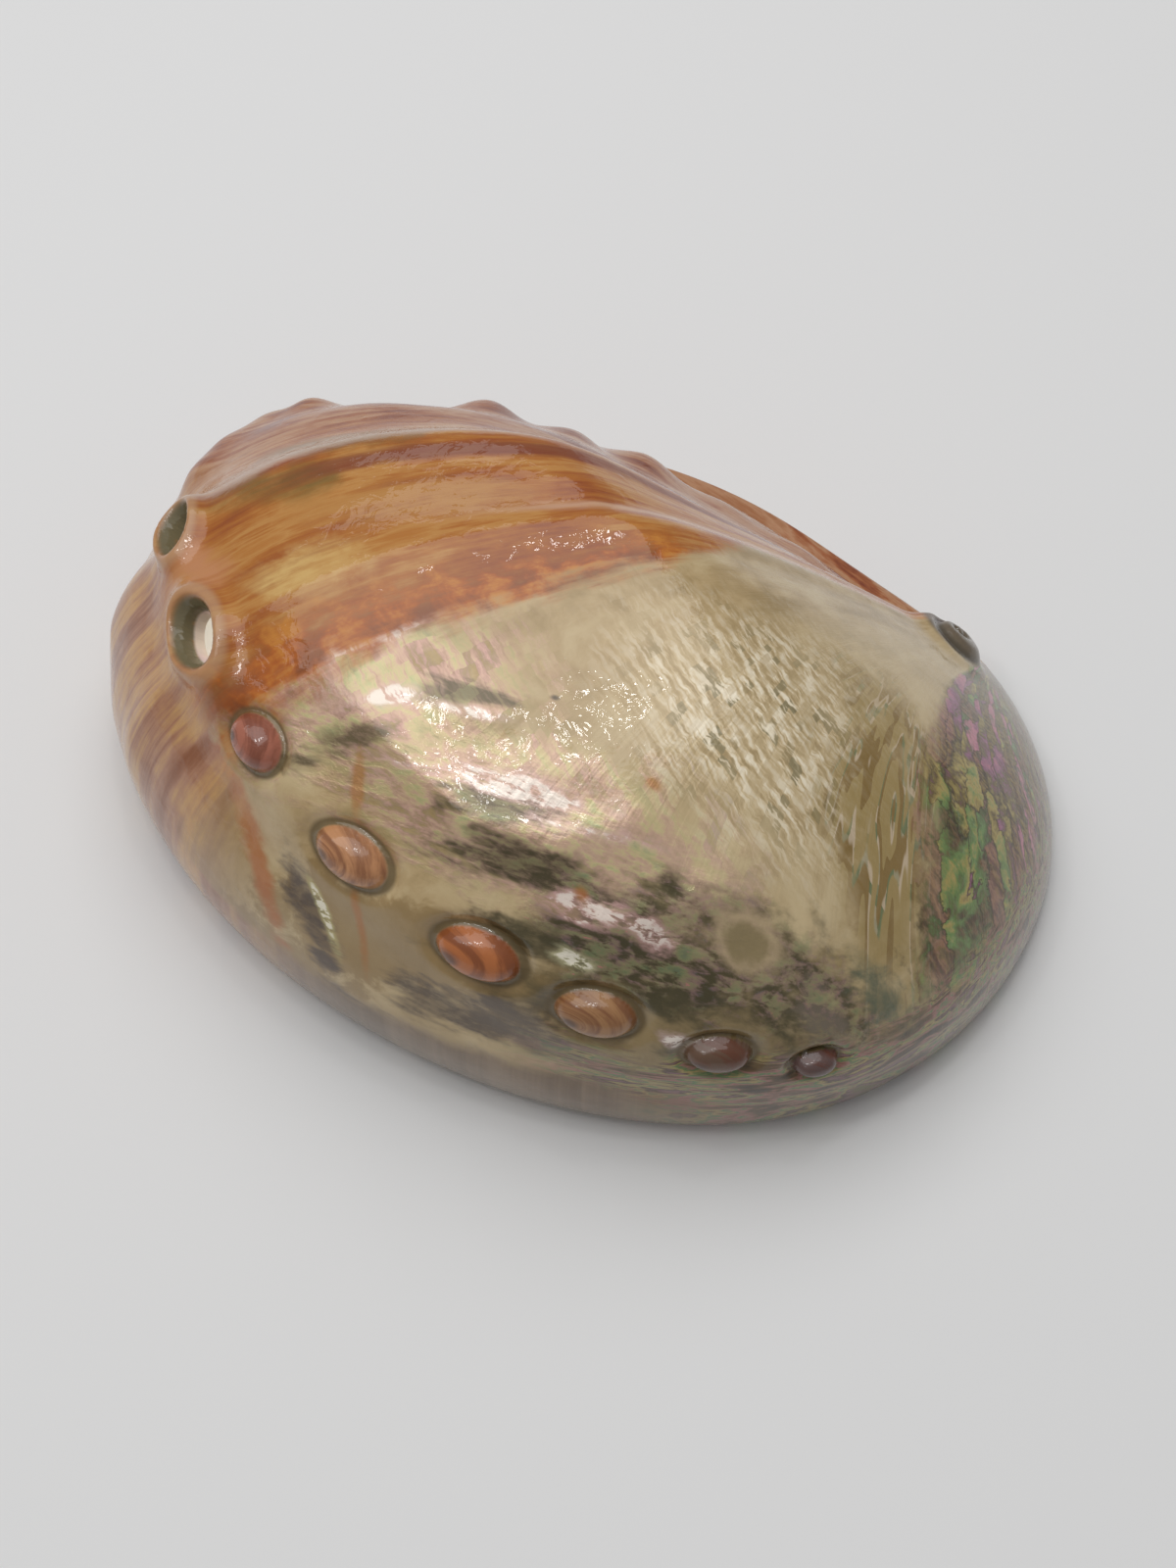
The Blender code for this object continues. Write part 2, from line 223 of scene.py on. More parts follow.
def math_node(tree, operation, *values):
    node = tree.nodes.new("ShaderNodeMath")
    node.operation = operation
    for value, socket in zip(values, node.inputs):
        plug_in(tree, value, socket)
    return Field(tree, node.outputs[0])


def root(field):
    return math_node(field.tree, "SQRT", field)


def sine(field):
    return math_node(field.tree, "SINE", field)


def cosine(field):
    return math_node(field.tree, "COSINE", field)


def exponential(field):
    return math_node(field.tree, "EXPONENT", field)


def size_of(field):
    return math_node(field.tree, "ABSOLUTE", field)


def greater(field, other):
    return math_node(field.tree, "GREATER_THAN", field, other)


def smaller_of(field, other):
    return math_node(field.tree, "MINIMUM", field, other)


def larger_of(field, other):
    return math_node(field.tree, "MAXIMUM", field, other)


def limited(field, low=0.0, high=1.0):
    return smaller_of(larger_of(field, low), high)


def blended(share, first, second):
    """first where share is 0, second where it is 1."""
    return first + share * (second - first)


def smooth_step(field, low, high):
    """0 below low, 1 above high, and a smooth rise between them. It falls where low is the larger."""
    share = limited((field - low) / (high - low))
    return share * share * (3 - 2 * share)


# The dome in Geometry Nodes


def disc_fields(tree, crowding):
    """Where each point of a square grid from -1 to 1 lands on the unit disc, crowded towards its edge."""
    position = tree.nodes.new("GeometryNodeInputPosition")
    parts = tree.nodes.new("ShaderNodeSeparateXYZ")
    tree.links.new(position.outputs[0], parts.inputs[0])
    a, b = Field(tree, parts.outputs[0]), Field(tree, parts.outputs[1])
    wide = greater(size_of(a), size_of(b))
    ray = blended(wide, b, a)
    other = blended(wide, a, b)
    safe_ray = blended(greater(size_of(ray), 1e-6), 1.0, ray)
    angle = other / safe_ray * (math.pi / 4)
    x = ray * blended(wide, sine(angle), cosine(angle))
    y = ray * blended(wide, cosine(angle), sine(angle))
    radius = smaller_of(root(x * x + y * y), 1.0)
    crowded = 1 - (1 - radius) ** crowding
    scale = crowded / larger_of(radius, 1e-6)
    return x * scale, y * scale


def outline_fields(x, y, size):
    """Stretches the disc into the shell's outline, a skewed egg that is fuller towards the spire."""
    product = x * y
    fullness = 1 + product * product * (4 * CORNER_FULLNESS) + product * (2 * DIAGONAL_FULLNESS)
    towards = x * math.cos(NOTCH_TURN) + y * math.sin(NOTCH_TURN)
    aside = (y * math.cos(NOTCH_TURN) - x * math.sin(NOTCH_TURN)) / NOTCH_WIDTH
    notch = exponential(-(aside * aside)) * limited(towards) * limited(towards) * NOTCH
    fullness = fullness * (1 - notch)
    half_width = blended(greater(y, 0), size["near width"], size["far width"])
    widening = 1 + x * WIDER_AT_SPIRE_END + (x * x - 0.5) * WIDER_AT_BOTH_ENDS
    return (x * size["length"] + y * SKEW) * fullness, y * half_width * widening * fullness


def summit_fields(x, y):
    """The direction and the share of the way from the summit to the margin."""
    away_x, away_y = x - SUMMIT[0], y - SUMMIT[1]
    distance = larger_of(root(away_x * away_x + away_y * away_y), 1e-6)
    c, s = away_x / distance, away_y / distance
    along = c * SUMMIT[0] + s * SUMMIT[1]
    beyond = 1 - (SUMMIT[0] ** 2 + SUMMIT[1] ** 2)
    to_margin = root(along * along + beyond) - along
    return c, s, smaller_of(distance / to_margin, 1.0)


def dome_fields(x, y, size):
    """The smooth dome before any relief: its three coordinates."""
    c, s, reach = summit_fields(x, y)
    flat = SUMMIT_ROUNDING
    rounded = (root(reach * reach + flat**2) - flat) / (math.hypot(1, flat) - flat)
    fall = FALL - s * FALL_TO_RIGHT + c * FALL_TO_SPIRE
    shoulder = SHOULDER - s * SHOULDER_TO_RIGHT
    z = size["height"] * limited(1 - rounded**fall) ** (1 / shoulder)
    out_x, out_y = outline_fields(x, y, size)
    lowness = limited(1 - z / (size["height"] * TUCK_BELOW))
    tuck = lowness * lowness * limited(0.5 - s * 0.8) * TUCK
    push_x, push_y = c / size["length"], s / TUCK_WIDTH
    push = tuck / root(push_x * push_x + push_y * push_y)
    return out_x - push_x * push - BOX_CENTRE[0], out_y - push_y * push - BOX_CENTRE[1], z


def vector_of(tree, x, y, z):
    node = tree.nodes.new("ShaderNodeCombineXYZ")
    for value, socket in zip((x, y, z), node.inputs):
        plug_in(tree, value, socket)
    return node.outputs[0]


def store(tree, geometry, name, value, kind="FLOAT"):
    node = tree.nodes.new("GeometryNodeStoreNamedAttribute")
    node.data_type = kind
    node.domain = "POINT"
    node.inputs["Name"].default_value = name
    tree.links.new(geometry, node.inputs["Geometry"])
    plug_in(tree, value, node.inputs["Value"])
    return node.outputs[0]


def named(tree, name):
    """A stored field of numbers."""
    node = tree.nodes.new("GeometryNodeInputNamedAttribute")
    node.data_type = "FLOAT"
    node.inputs["Name"].default_value = name
    return Field(tree, node.outputs[0])


def moved(tree, geometry, position=None, offset=None):
    node = tree.nodes.new("GeometryNodeSetPosition")
    tree.links.new(geometry, node.inputs["Geometry"])
    if position is not None:
        tree.links.new(position, node.inputs["Position"])
    if offset is not None:
        tree.links.new(offset, node.inputs["Offset"])
    return node.outputs[0]


def dome_sheet(tree, size, columns, rows, side):
    """One sheet of the shell on the dome, with where it is on the disc stored at each point."""
    grid = tree.nodes.new("GeometryNodeMeshGrid")
    grid.inputs["Size X"].default_value = 2
    grid.inputs["Size Y"].default_value = 2
    plug_in(tree, columns, grid.inputs["Vertices X"])
    plug_in(tree, rows, grid.inputs["Vertices Y"])
    x, y = disc_fields(tree, CROWDING)
    geometry = store(tree, grid.outputs[0], "disc_x", x)
    geometry = store(tree, geometry, "disc_y", y)
    geometry = store(tree, geometry, "inside", side)
    x, y = named(tree, "disc_x"), named(tree, "disc_y")
    return moved(tree, geometry, position=vector_of(tree, *dome_fields(x, y, size)))


def inner_offset(tree):
    """How far the inside lies under the outside: a wall that widens into a ledge at the near flank."""
    x, y = named(tree, "disc_x"), named(tree, "disc_y")
    margin = root(x * x + y * y)
    flank = limited(0.5 - y)
    lip = blended(flank, LIP_WIDTH, SHELF_WIDTH)
    wall = WALL + (lip - WALL) * margin**SHELF_RISE
    normal = tree.nodes.new("GeometryNodeInputNormal")
    scale = tree.nodes.new("ShaderNodeVectorMath")
    scale.operation = "SCALE"
    tree.links.new(normal.outputs[0], scale.inputs[0])
    plug_in(tree, -wall, scale.inputs["Scale"])
    return scale.outputs[0]


def tree_input(tree, name, kind, value, lowest):
    made = tree.interface.new_socket(name=name, in_out="INPUT", socket_type=kind)
    made.default_value = value
    made.min_value = lowest
    return made.identifier


def shell_tree(material):
    """Grows the plain dome: an outer sheet and an inner one, under it by the wall's thickness."""
    tree = bpy.data.node_groups.new("grown dome", "GeometryNodeTree")
    names = {}
    sizes = ("Half Length", "Near Half Width", "Far Half Width", "Height")
    for name in sizes:
        names[name] = tree_input(tree, name, "NodeSocketFloat", 0.06, 0.001)
    for name in ("Columns", "Rows"):
        names[name] = tree_input(tree, name, "NodeSocketInt", 64, 8)
    tree.interface.new_socket(name="Geometry", in_out="OUTPUT", socket_type="NodeSocketGeometry")
    given = tree.nodes.new("NodeGroupInput").outputs
    size = {
        "length": Field(tree, given["Half Length"]),
        "near width": Field(tree, given["Near Half Width"]),
        "far width": Field(tree, given["Far Half Width"]),
        "height": Field(tree, given["Height"]),
    }
    columns, rows = Field(tree, given["Columns"]), Field(tree, given["Rows"])
    outer = dome_sheet(tree, size, columns * 2 + 1, rows * 2 + 1, 0.0)
    inner = dome_sheet(tree, size, columns + 1, rows + 1, 1.0)
    inner = moved(tree, inner, offset=inner_offset(tree))
    flip = tree.nodes.new("GeometryNodeFlipFaces")
    tree.links.new(inner, flip.inputs[0])
    both = tree.nodes.new("GeometryNodeJoinGeometry")
    tree.links.new(outer, both.inputs[0])
    tree.links.new(flip.outputs[0], both.inputs[0])
    real = tree.nodes.new("GeometryNodeRealizeInstances")
    tree.links.new(both.outputs[0], real.inputs[0])
    dress = tree.nodes.new("GeometryNodeSetMaterial")
    dress.inputs["Material"].default_value = material
    tree.links.new(real.outputs[0], dress.inputs["Geometry"])
    out = tree.nodes.new("NodeGroupOutput")
    tree.links.new(dress.outputs[0], out.inputs[0])
    return tree, names


def grown_sheets(shape, material):
    """Runs the tree and returns its two sheets as one plain mesh."""
    tree, names = shell_tree(material)
    holder = bpy.data.objects.new("growing", bpy.data.meshes.new("growing"))
    bpy.context.scene.collection.objects.link(holder)
    modifier = holder.modifiers.new("grown dome", "NODES")
    modifier.node_group = tree
    modifier[names["Half Length"]] = shape.half_length
    modifier[names["Near Half Width"]] = shape.near_half_width
    modifier[names["Far Half Width"]] = shape.far_half_width
    modifier[names["Height"]] = shape.height
    modifier[names["Columns"]] = shape.columns // 2
    modifier[names["Rows"]] = shape.rows // 2
    graph = bpy.context.evaluated_depsgraph_get()
    mesh = bpy.data.meshes.new_from_object(holder.evaluated_get(graph), depsgraph=graph)
    bpy.data.objects.remove(holder)
    return mesh


# The one closed skin, and its relief


def values_of(mesh, name):
    """A stored attribute as an array."""
    values = np.zeros(len(mesh.vertices), np.float32)
    mesh.attributes[name].data.foreach_get("value", values)
    return values.astype(float)


def keep_values(mesh, name, values):
    made = mesh.attributes.get(name) or mesh.attributes.new(name, "FLOAT", "POINT")
    made.data.foreach_set("value", np.asarray(values, np.float32))


def places_of(mesh):
    places = np.zeros(len(mesh.vertices) * 3, np.float32)
    mesh.vertices.foreach_get("co", places)
    return places.reshape(-1, 3).astype(float)


def normals_of(mesh):
    normals = np.zeros(len(mesh.vertices) * 3, np.float32)
    mesh.vertices.foreach_get("normal", normals)
    return normals.reshape(-1, 3).astype(float)


def bump(distance):
    return np.exp(-(distance**2))


def disc_point(turn, reach):
    """The place on the disc at a turn in degrees and a reach from the summit."""
    c, s = math.cos(math.radians(turn)), math.sin(math.radians(turn))
    along = SUMMIT[0] * c + SUMMIT[1] * s
    to_margin = -along + math.sqrt(along**2 + 1 - SUMMIT[0] ** 2 - SUMMIT[1] ** 2)
    return SUMMIT[0] + reach * to_margin * c, SUMMIT[1] + reach * to_margin * s


class Skin:
    """The shell's vertices as arrays, with where each one is on the disc."""

    def __init__(self, mesh):
        self.places = places_of(mesh)
        self.normals = normals_of(mesh)
        self.x, self.y = values_of(mesh, "disc_x"), values_of(mesh, "disc_y")
        self.outer = values_of(mesh, "inside") < 0.5
        self.edge = np.hypot(self.x, self.y)
        away_x, away_y = self.x - SUMMIT[0], self.y - SUMMIT[1]
        distance = np.maximum(np.hypot(away_x, away_y), 1e-9)
        c, s = away_x / distance, away_y / distance
        along = SUMMIT[0] * c + SUMMIT[1] * s
        to_margin = -along + np.sqrt(along**2 + 1 - SUMMIT[0] ** 2 - SUMMIT[1] ** 2)
        self.reach = np.minimum(distance / to_margin, 1)
        self.turn = np.degrees(np.arctan2(away_y, away_x))
        c, s = math.cos(SPIRE_TURN), math.sin(SPIRE_TURN)
        towards, aside = self.x * c + self.y * s, self.y * c - self.x * s
        spread = np.maximum((1 - towards) ** 2 + aside**2, 1e-4)
        self.across = 2 * aside / spread
        self.inward = np.maximum((1 - towards**2 - aside**2) / spread, 0)
        self.angle = np.arctan2(self.across + FAN_ACROSS, self.inward + FAN_INWARD)
        behind = (self.across + FAN_ACROSS) / (1 + BEHIND_SPREAD * self.inward)
        self.growth = np.where(self.angle > 0, self.angle, behind)
        self.fan = np.log(np.hypot(self.across + FAN_ACROSS, self.inward + FAN_INWARD))

    def at(self, x, y):
        """The place and the normal of the outside at a place on the disc."""
        away = np.hypot(self.x - x, self.y - y) + np.where(self.outer, 0, 9)
        nearest = np.argsort(away)[:4]
        weights = 1 / (away[nearest] + 1e-6)
        weights /= weights.sum()
        normal = Vector(weights @ self.normals[nearest]).normalized()
        return Vector(weights @ self.places[nearest]), normal

    def frame_at(self, turn, reach):
        """A place on the outside with its direction along the row, across it and its normal."""
        centre, normal = self.at(*disc_point(turn, reach))
        before, after = self.at(*disc_point(turn - 3, reach)), self.at(*disc_point(turn + 3, reach))
        along = after[0] - before[0]
        along = (along - normal * along.dot(normal)).normalized()
        return np.array(centre), np.array(along), np.array(normal.cross(along)), np.array(normal)


def hole_radius(skin, hole):
    """How far each vertex is from a hole's middle: 1 is its edge."""
    centre, along, across, normal = skin.frame_at(hole.turn, hole.reach)
    away = skin.places - centre
    flat = np.hypot(away @ along / hole.half_length, away @ across / hole.half_width)
    return flat + np.abs(away @ normal) / (2 * hole.half_length)


def stitch_margin(tools):
    """Joins the edges of the two sheets by the flat ring that the shell rests on."""
    side = tools.verts.layers.float["inside"]
    inner = [e for e in tools.edges if e.is_boundary and e.verts[0][side] > 0.5]
    bmesh.ops.subdivide_edges(tools, edges=inner, cuts=1)
    open_edges = [e for e in tools.edges if e.is_boundary]
    for edge in open_edges:
        for vertex in edge.verts:
            vertex.co.z = 0
    bmesh.ops.bridge_loops(tools, edges=open_edges)


def refine(tools, centre, radius):
    """Halves the edges of the outside within a radius."""
    side = tools.verts.layers.float["inside"]
    centre = Vector(centre)
    near = [
        e
        for e in tools.edges
        if (e.verts[0].co - centre).length < radius
        and (e.verts[1].co - centre).length < radius
        and max(e.verts[0][side], e.verts[1][side]) < 0.5
    ]
    bmesh.ops.subdivide_edges(tools, edges=near, cuts=1, use_grid_fill=True)


def closed_skin(mesh):
    """Stitches the two sheets, and gives the holes and the spire a finer mesh."""
    skin = Skin(mesh)
    tools = bmesh.new()
    tools.from_mesh(mesh)
    stitch_margin(tools)
    for hole in HOLES:
        refine(tools, skin.frame_at(hole.turn, hole.reach)[0], hole.half_length + FINE_SPOT)
    refine(tools, skin.at(*SPIRE)[0], COIL_FINE_SPOT)
    bmesh.ops.triangulate(tools, faces=[f for f in tools.faces if len(f.verts) > 4])
    tools.to_mesh(mesh)
    tools.free()
    return mesh


def hole_relief(skin, hole):
    """A collar that rolls into an open hole, or a domed plug in its moat."""
    radius = hole_radius(skin, hole)
    if hole.kind == "open":
        rim = OPEN_RIM_HEIGHT * bump((radius - OPEN_RIM_AT) / OPEN_RIM_WIDTH)
        return rim - OPEN_RIM_ROLL * bump(np.maximum(radius - ROLL_FROM, 0) / ROLL_WIDTH)
    plug = PLUG_HEIGHT * np.clip(1 - radius**2, 0, 1) ** PLUG_ROUNDNESS
    return plug - PLUG_MOAT * bump((radius - PLUG_MOAT_AT) / PLUG_MOAT_WIDTH)


def row_offset(skin):
    """How far each vertex lies outside the row of holes, as a share of the way to the margin."""
    turns = [hole.turn for hole in HOLES]
    return skin.reach - np.interp(skin.turn, turns, [hole.reach for hole in HOLES])


def row_relief(skin):
    """The ridge that carries the row of holes, with a furrow outside it."""
    first, last = HOLES[0].turn, HOLES[-1].turn
    ends = bump(np.clip(first - skin.turn, 0, None) / ROW_FADE_AT_LIP)
    ends *= bump(np.clip(skin.turn - last, 0, None) / ROW_FADE_AT_SPIRE)
    offset = row_offset(skin)
    ridge = ROW_RIDGE * bump(offset / ROW_RIDGE_WIDTH)
    return ends * (ridge - ROW_FURROW * bump((offset - ROW_FURROW_OFFSET) / ROW_FURROW_WIDTH))


def far_sink(skin):
    """How far the wall lies under the dome, behind the folds."""
    behind = np.clip((skin.angle - FAR_SINK_FROM) / (FAR_SINK_TO - FAR_SINK_FROM), 0, 1)
    return FAR_SINK * behind**2 * (3 - 2 * behind)


def fold_relief(skin):
    """Folds that fan from the spire, and the knobs on them."""
    from_spire = np.linalg.norm(skin.places - np.array(skin.at(*SPIRE)[0]), axis=1)
    folds = sum(fold.height * bump((skin.angle - fold.angle) / fold.spread) for fold in FOLDS)
    folds *= np.clip(from_spire / FOLDS_FADE, 0, 1) * np.clip((1 - skin.edge) / FOLD_EDGE, 0, 1)
    for knob in KNOBS:
        centre = np.array(skin.at(*disc_point(knob.turn, knob.reach))[0])
        away = np.linalg.norm(skin.places - centre, axis=1)
        folds += knob.height * bump(away / knob.radius)
    return folds


def line_relief(skin, ridge):
    """A ridge along a line of places on the disc, lower at its ends."""
    points = [np.array(skin.at(x, y)[0]) for x, y in ridge.points]
    nearest = np.full(len(skin.places), 9.0)
    share = np.zeros(len(skin.places))
    pieces = len(points) - 1
    for number, (start, end) in enumerate(zip(points, points[1:])):
        line = end - start
        run = np.clip((skin.places - start) @ line / (line @ line), 0, 1)
        away = np.linalg.norm(skin.places - start - run[:, None] * line, axis=1)
        closer = away < nearest
        nearest[closer] = away[closer]
        share[closer] = (number + run[closer]) / pieces
    return ridge.height * bump(nearest / ridge.width) * np.sin(np.pi * np.clip(share, 0.08, 0.92)) ** 0.5


def coil_frame(skin):
    """The radius and the distance from the middle of the coil, and its groove from 0 to 1."""
    centre, normal = skin.at(*SPIRE)
    away = skin.places - np.array(centre)
    side = normal.orthogonal().normalized()
    u, v = away @ np.array(side), away @ np.array(normal.cross(side))
    radius = np.hypot(u, v) + 1e-9
    winding = np.arctan2(v, u) - np.log(radius / COIL_RADIUS) / COIL_GROWTH
    return radius, np.linalg.norm(away, axis=1), 0.5 + 0.5 * np.cos(winding)


def coil_relief(skin):
    """The raised oval of the spire with its spiral groove."""
    radius, distance, groove = coil_frame(skin)
    near = bump((radius / (COIL_SPREAD * COIL_RADIUS)) ** 2) * (distance < COIL_END * COIL_RADIUS)
    return near * (COIL_HEIGHT - COIL_GROOVE * groove**3)


def shaped(mesh):
    """Gives the skin its relief and rounds the foot of the margin."""
    skin = Skin(mesh)
    lift = row_relief(skin) + fold_relief(skin) + coil_relief(skin)
    for ridge in RIDGES:
        lift += line_relief(skin, ridge)
    for hole in HOLES:
        lift += hole_relief(skin, hole)
    sunk = far_sink(skin) * np.where(skin.outer, -1, 1)
    lift = (lift * skin.outer + sunk) * np.clip((1 - skin.edge) / RELIEF_EDGE, 0, 1)
    places = skin.places + skin.normals * lift[:, None]
    inner = ~skin.outer
    low = FOOT_CLEARANCE * np.clip((1 - skin.edge) / LIP_SHARE, 0, 1)
    places[inner, 2] = np.maximum(places[inner, 2], low[inner])
    foot = skin.outer & (places[:, 2] < MARGIN_ROUNDING)
    drop = MARGIN_ROUNDING - places[foot, 2]
    pull = MARGIN_ROUNDING - np.sqrt(np.maximum(MARGIN_ROUNDING**2 - drop**2, 0))
    outward = skin.normals[foot, :2]
    outward /= np.linalg.norm(outward, axis=1)[:, None] + 1e-9
    places[foot, :2] -= outward * pull[:, None]
    mesh.vertices.foreach_set("co", places.astype(np.float32).ravel())
    mesh.update()
    return skin


def bore_cutter(skin, hole):
    """A tapered oval that cuts an open hole through the wall."""
    centre, along, across, normal = (Vector(part) for part in skin.frame_at(hole.turn, hole.reach))
    tools = bmesh.new()
    bmesh.ops.create_cone(
        tools, cap_ends=True, segments=BORE_SIDES, radius1=BORE_TAPER, radius2=1, depth=2
    )
    for vertex in tools.verts:
        x, y, z = vertex.co
        place = along * (x * hole.half_length) + across * (y * hole.half_width)
        vertex.co = centre + place + normal * (z * BORE_DEPTH / 2)
    mesh = bpy.data.meshes.new("bore")
    tools.to_mesh(mesh)
    tools.free()
    cutter = bpy.data.objects.new("bore", mesh)
    bpy.context.scene.collection.objects.link(cutter)
    return cutter


def cut_open_holes(piece, skin):
    """Cuts the open holes through, and applies the cuts."""
    cutters = [bore_cutter(skin, hole) for hole in HOLES if hole.kind == "open"]
    for cutter in cutters:
        cut = piece.modifiers.new("open hole", "BOOLEAN")
        cut.operation = "DIFFERENCE"
        cut.object = cutter
    graph = bpy.context.evaluated_depsgraph_get()
    mesh = bpy.data.meshes.new_from_object(piece.evaluated_get(graph), depsgraph=graph)
    piece.modifiers.clear()
    piece.data = mesh
    for cutter in cutters:
        bpy.data.objects.remove(cutter)


def hole_frame_fields(skin):
    """For the nearest hole: how far its edge is, its number, its kind, and the place along and across it."""
    nearest = np.full(len(skin.places), 9.0)
    fields = {name: np.zeros(len(nearest)) for name in ("number", "open", "plug_along", "plug_across")}
    for number, hole in enumerate(HOLES):
        radius = hole_radius(skin, hole)
        closer = radius < nearest
        nearest[closer] = radius[closer]
        centre, along, across, _ = skin.frame_at(hole.turn, hole.reach)
        away = skin.places[closer] - centre
        fields["number"][closer] = number
        fields["open"][closer] = hole.kind == "open"
        fields["plug_along"][closer] = away @ along / hole.half_length
        fields["plug_across"][closer] = away @ across / hole.half_width
    return {"hole": np.minimum(nearest, 4), **fields}


def coil_fields(skin):
    """How far the middle of the coil is, in coil radii, and its groove."""
    _, distance, groove = coil_frame(skin)
    return {"coil": np.minimum(distance / COIL_RADIUS, 6), "coil_groove": groove}


def mark_zones(piece, before, skin):
    """Stores on each vertex what the finish reads, taken from the nearest vertex before the cuts."""
    tree = kdtree.KDTree(len(before))
    for number, place in enumerate(before):
        tree.insert(place, number)
    tree.balance()
    nearest = np.array([tree.find(v.co)[1] for v in piece.data.vertices])
    fields = {
        "disc_x": skin.x,
        "disc_y": skin.y,
        "growth": skin.growth,
        "fan": skin.fan,
        "edge": skin.edge,
        "inside": np.where(skin.outer, 0.0, 1.0),
        "row": row_offset(skin),
        **hole_frame_fields(skin),
        **coil_fields(skin),
    }
    for name, values in fields.items():
        keep_values(piece.data, name, values[nearest])


# Finishes


def attribute(tree, name):
    node = tree.nodes.new("ShaderNodeAttribute")
    node.attribute_name = name
    return Field(tree, node.outputs["Fac"])


def noise_field(tree, vector, scale, detail=4.0, roughness=0.55, distortion=0.0):
    """Smooth noise from 0 to 1 around 0.5."""
    node = tree.nodes.new("ShaderNodeTexNoise")
    node.inputs["Scale"].default_value = scale
    node.inputs["Detail"].default_value = detail
    node.inputs["Roughness"].default_value = roughness
    node.inputs["Distortion"].default_value = distortion
    tree.links.new(vector, node.inputs["Vector"])
    return Field(tree, node.outputs[0])


def mixed(tree, share, first, second):
    """A colour: first where share is 0, second where it is 1."""
    node = tree.nodes.new("ShaderNodeMix")
    node.data_type = "RGBA"
    node.clamp_factor = True
    plug_in(tree, share, node.inputs[0])
    plug_in(tree, first, node.inputs[6])
    plug_in(tree, second, node.inputs[7])
    return node.outputs[2]


def rgb(red, green, blue):
    """A colour as a screen shows it, from 0 to 255, in the linear values that a shader takes."""
    values = [c / 255 for c in (red, green, blue)]
    linear = [c / 12.92 if c <= 0.04045 else ((c + 0.055) / 1.055) ** 2.4 for c in values]
    return (*linear, 1.0)


def ramp(tree, field, stops):
    """Colours at places from 0 to 1: each stop is a place and its colour."""
    node = tree.nodes.new("ShaderNodeValToRGB")
    plug_in(tree, field, node.inputs[0])
    while len(node.color_ramp.elements) < len(stops):
        node.color_ramp.elements.new(1.0)
    for element, (place, colour) in zip(node.color_ramp.elements, stops):
        element.position = place
        element.color = colour
    return node.outputs[0]


def stepped(field, steps):
    """The field in even steps, as ribs break the colours of nacre into blocks."""
    return math_node(field.tree, "FLOOR", field * steps) / steps


def cell_fields(tree, vector):
    """Irregular cells: a number for each cell, and how near its edge is."""
    cells = tree.nodes.new("ShaderNodeTexVoronoi")
    edges = tree.nodes.new("ShaderNodeTexVoronoi")
    edges.feature = "DISTANCE_TO_EDGE"
    for node in (cells, edges):
        node.inputs["Scale"].default_value = 1.0
        tree.links.new(vector, node.inputs["Vector"])
    pick = tree.nodes.new("ShaderNodeSeparateColor")
    tree.links.new(cells.outputs["Color"], pick.inputs[0])
    return Field(tree, pick.outputs[0]), Field(tree, edges.outputs["Distance"])


def object_place(tree):
    return tree.nodes.new("ShaderNodeTexCoord").outputs["Object"]


# Where a point is: its place in metres, on the disc, in growth coordinates, and beside the margin and the row
Where = namedtuple("Where", "place x y growth fan edge row")
# The noises of the nacre
Grain = namedtuple("Grain", "broad blotch steps stripes")


def streaks(tree, across, along, seed, detail=4, roughness=0.6, distortion=0.0):
    """Noise over two fields. The seed keeps it apart from the others."""
    return noise_field(tree, vector_of(tree, across, along, seed), 1.0, detail, roughness, distortion)


def flank_noise(where, along, across):
    """Noise in streaks that run with the row of holes."""
    tree = where.x.tree
    stretch = tree.nodes.new("ShaderNodeMapping")
    stretch.inputs["Scale"].default_value = (along, across, across)
    tree.links.new(where.place, stretch.inputs["Vector"])
    return noise_field(tree, stretch.outputs[0], 1.0, 4, 0.6, 0.3)


def turned_patch(where, wobble, patch, softness=0.2):
    """1 on a patch of the disc, with an edge that the wobble makes ragged."""
    c, s = math.cos(math.radians(patch.turn)), math.sin(math.radians(patch.turn))
    away_x, away_y = where.x - patch.x, where.y - patch.y
    along = (away_x * c + away_y * s) / patch.length
    aside = (away_y * c - away_x * s) / patch.width
    distance = root(along * along + aside * aside) + (wobble - 0.5) * patch.ragged
    return smooth_step(distance, 1 + softness, 1 - softness)


def patched(where, colour, wobble, patches, strength, softness):
    """Lays patches of their own colours over a colour."""
    for patch in patches:
        mask = turned_patch(where, wobble, patch, softness)
        colour = mixed(where.x.tree, mask * strength, colour, patch.colour)
    return colour


